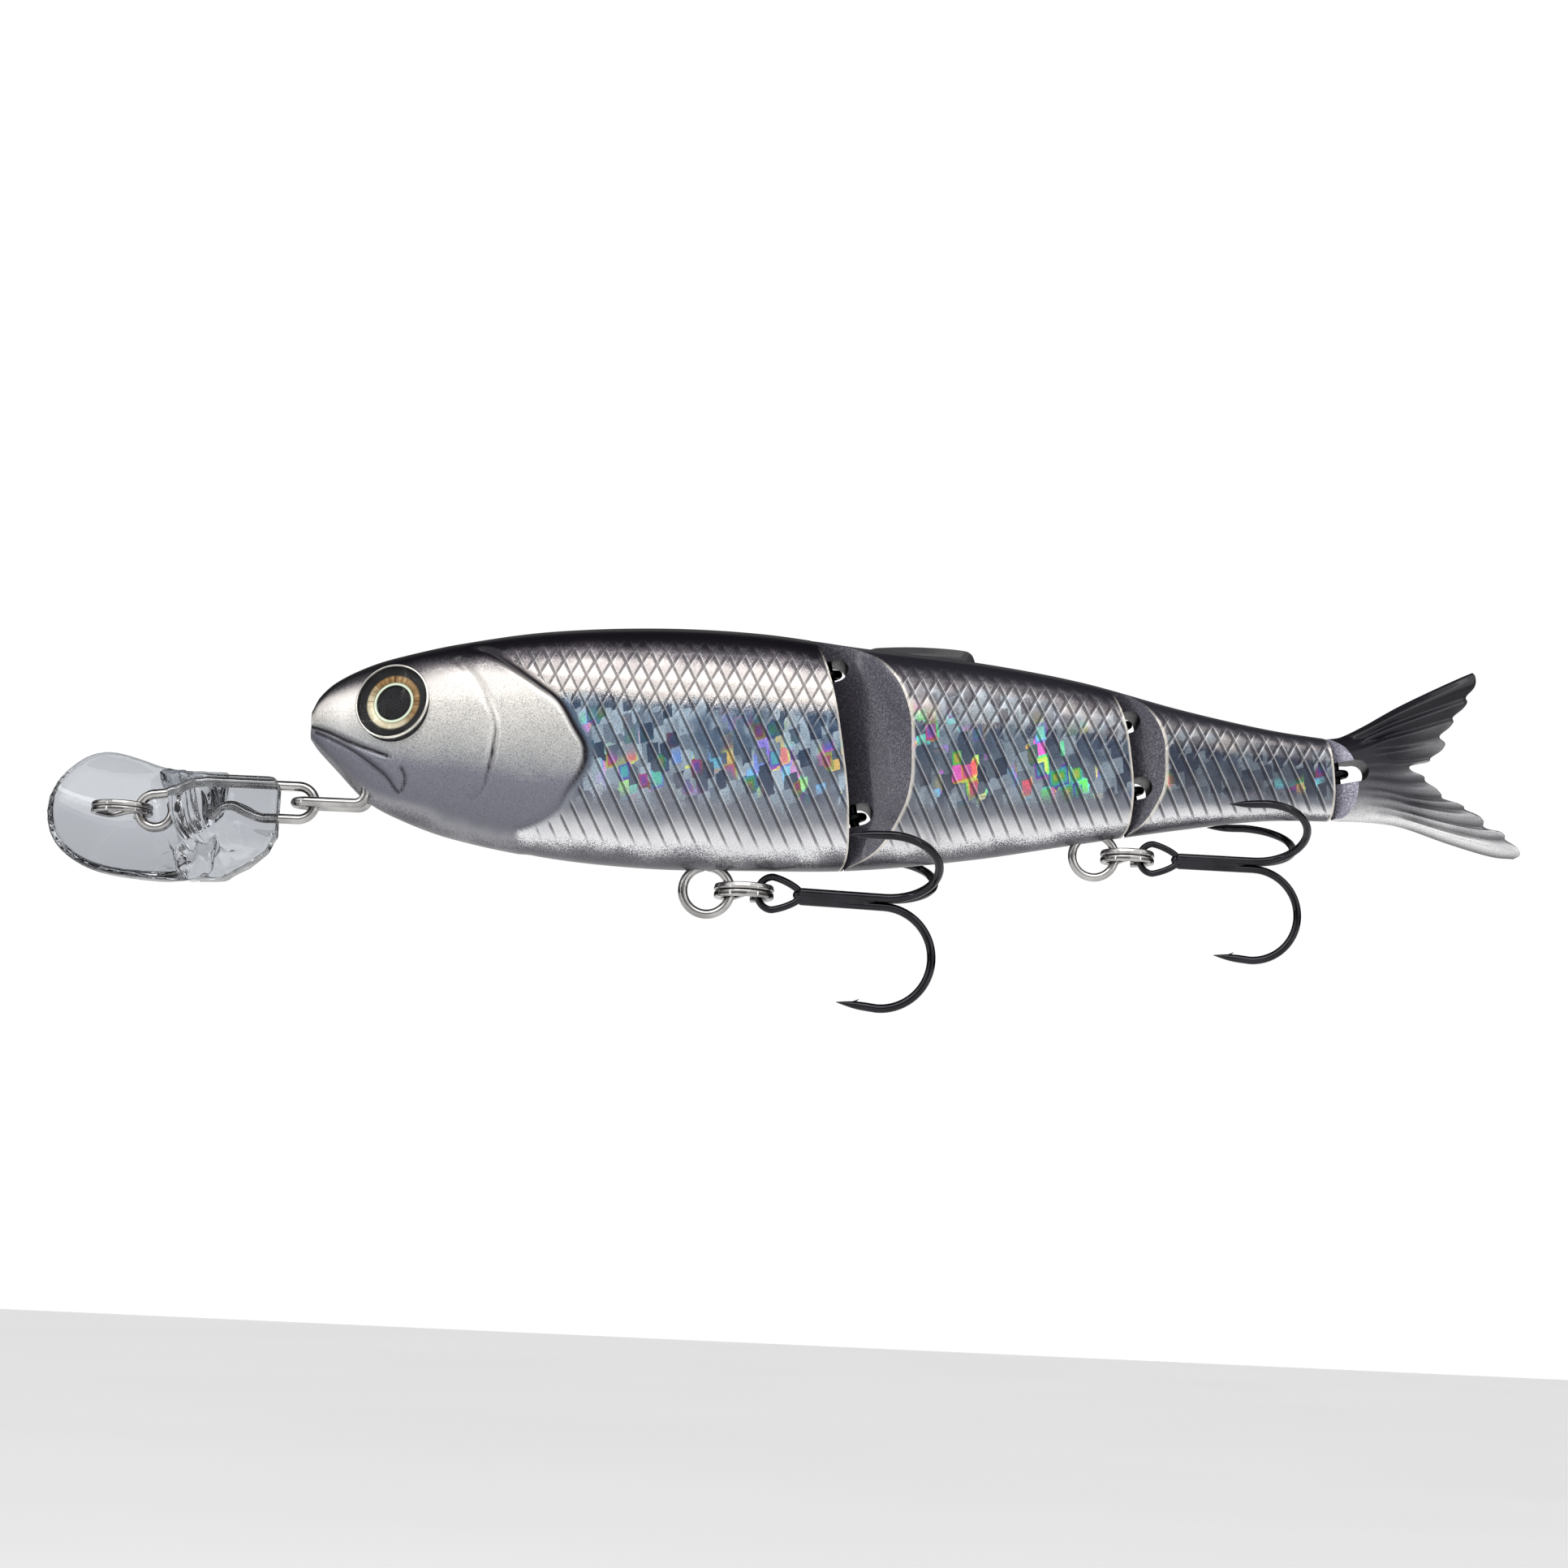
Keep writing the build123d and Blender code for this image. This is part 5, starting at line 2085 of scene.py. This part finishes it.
def main() -> None:
    """Build every piece in order."""
    logging.basicConfig(level=logging.INFO, format="%(name)s: %(message)s")
    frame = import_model()
    nodes = frame["nodes"]

    pivots = Pivots(frame["joints"])
    form, marks, hinges = BodyForm(), Markings(), Hinges(pivots)
    steel = WireFinish("stainless wire", (0.40, 0.39, 0.38), 0.11).build()
    nickel = WireFinish("black nickel", (0.020, 0.019, 0.023), 0.08, coat=0.3).build()
    # Painted shade: the steel hinge eyes and pins are darkened to near black.
    shadow = WireFinish("hinge wire", (0.014, 0.014, 0.016), 0.38).build()
    rim = WireFinish("bright rim", (0.70, 0.68, 0.62), 0.12).build()
    ballast = WireFinish("plain steel", (0.30, 0.30, 0.31), 0.45).build()
    bevel = BevelPaint().build()
    # Painted shade: near-black paint inside the slots, sockets and grooves.
    dark = BevelPaint("slot paint", 0.03, 0.0).build()
    pearl = BevelPaint("pearl bevel paint", 2.6).build()
    paint = {
        "head": BodyPaint("head paint", (hinges.front.rear_edge(),), 0.7).build(),
        "middle": BodyPaint("middle paint", (hinges.front.edge(), hinges.rear.rear_edge()), 0.95, 0.82, 0.40).build(),
        "tail": BodyPaint("tail paint", (hinges.rear.edge(), hinges.fin.rear_edge()), 0.6, 0.80, 0.66).build(),
    }

    eyes = [Eye(-1, "iris_left"), Eye(1, "iris_right")]
    body = Body(form, marks, hinges).build(paint, bevel, dark, eyes)
    for name, shell in (("head", "head_shell_"), ("middle", "mid_shell_"), ("tail", "tail_shell_")):
        settle(body[name], name, "painted_body", shell + "left", shell + "right")

    foil = IrisFoil("iris foil", -2.2).build()
    dome = ClearFinish("eye dome", (1.0, 1.0, 1.0), 1.15, 0.01).build()
    for eye in eyes:
        for piece, node in eye.build(foil, dome, rim):
            slot = "eye_dome" if "dome" in piece.name else "iris_foil" if "foil" in piece.name else "stainless_wire"
            settle(piece, "head", slot, *([node] if node else []))

    fork = TailFin(hinges.fin).build(FinPaint("fork fin paint").build(), pearl, dark)
    settle(fork, "fin", "fin_plastic", "tail_fin")
    settle(BackFin().build(FinPaint("back fin paint", True).build()), "middle", "fin_plastic", "dorsal_fin")

    wires, links = WireForms(steel), WireForms(shadow)
    for joint, hinge, body_name in (("front", hinges.front, "head"), ("rear", hinges.rear, "middle")):
        for label, level in zip(("lower", "upper"), hinge.slots):
            eye_wire = links.screw_eye(f"{joint}_screw_eye_{label}", hinge, level)
            settle(eye_wire, body_name, "stainless_wire", f"{joint}_hinge_eye_{label}")
    settle(links.screw_eye("fin_screw_eye", hinges.fin, hinges.fin.slots[0]), "tail", "stainless_wire", "tail_eye")
    pins = (("front_pin", hinges.front, -12.2, 14.2, "middle", "front_hinge_pin"),
            ("rear_pin", hinges.rear, -7.6, 8.6, "tail", "rear_hinge_pin"),
            ("fin_pin", hinges.fin, -4.1, 4.4, "fin", "tail_pin"))
    for name, hinge, low, high, body_name, node in pins:
        settle(links.pin(name, hinge, low, high), body_name, "stainless_wire", node)
    front_place, rear_place = pivots.place("front_ring_swing"), pivots.place("rear_ring_swing")
    settle(wires.hanger("front_hook_hanger", front_place, 1.0, 6.0), "head", "stainless_wire", "front_hanger")
    settle(wires.hanger("rear_hook_hanger", rear_place, REAR_SCALE, 2.6), "middle", "stainless_wire", "rear_hanger")
    settle(wires.staple(), "head", "stainless_wire", "nose_eye")
    settle(wires.lip_wire(), "lip", "stainless_wire", "lip_wire")

    coils = RingTree().build()
    rings = (
        (SplitRing("line_ring", centre("line_tie_ring"), *LINE_RING), "tie_ring", "line_tie_ring"),
        (SplitRing("front_ring_coils", centre("front_split_ring"), *HOOK_RING), "front_ring", "front_split_ring"),
        (SplitRing("rear_ring_coils", centre("rear_split_ring"), *(REAR_SCALE * v for v in HOOK_RING)),
         "rear_ring", "rear_split_ring"),
    )
    for ring, body_name, node in rings:
        settle(ring.build(coils, steel), body_name, "stainless_wire", node)

    hooks = TrebleTree().build()
    front_hook = Treble("front_hook_steel", pivots.place("front_hook_swing"), FRONT_DROOP, 1.0)
    rear_hook = Treble("rear_hook_steel", pivots.place("rear_hook_swing"), REAR_DROOP, REAR_SCALE)
    settle(front_hook.build(hooks, nickel), "front_hook", "black_nickel", "front_treble_hook")
    settle(rear_hook.build(hooks, nickel), "rear_hook", "black_nickel", "rear_treble_hook")

    clear = ClearFinish("clear lip plastic", (0.49, 0.51, 0.545), 1.45, 0.02).build()
    settle(Lip().build(nodes["lip_blade"], clear), "lip", "clear_polycarbonate", "lip_blade")

    for name in ("head_ballast", "mid_ballast", "rattle_ball_front", "rattle_ball_rear"):
        nodes[name].data.materials.clear()
        nodes[name].data.materials.append(ballast)
        LOG.info("%s keeps its own shape", name)

    Studio().build()


if __name__ == "__main__":
    main()
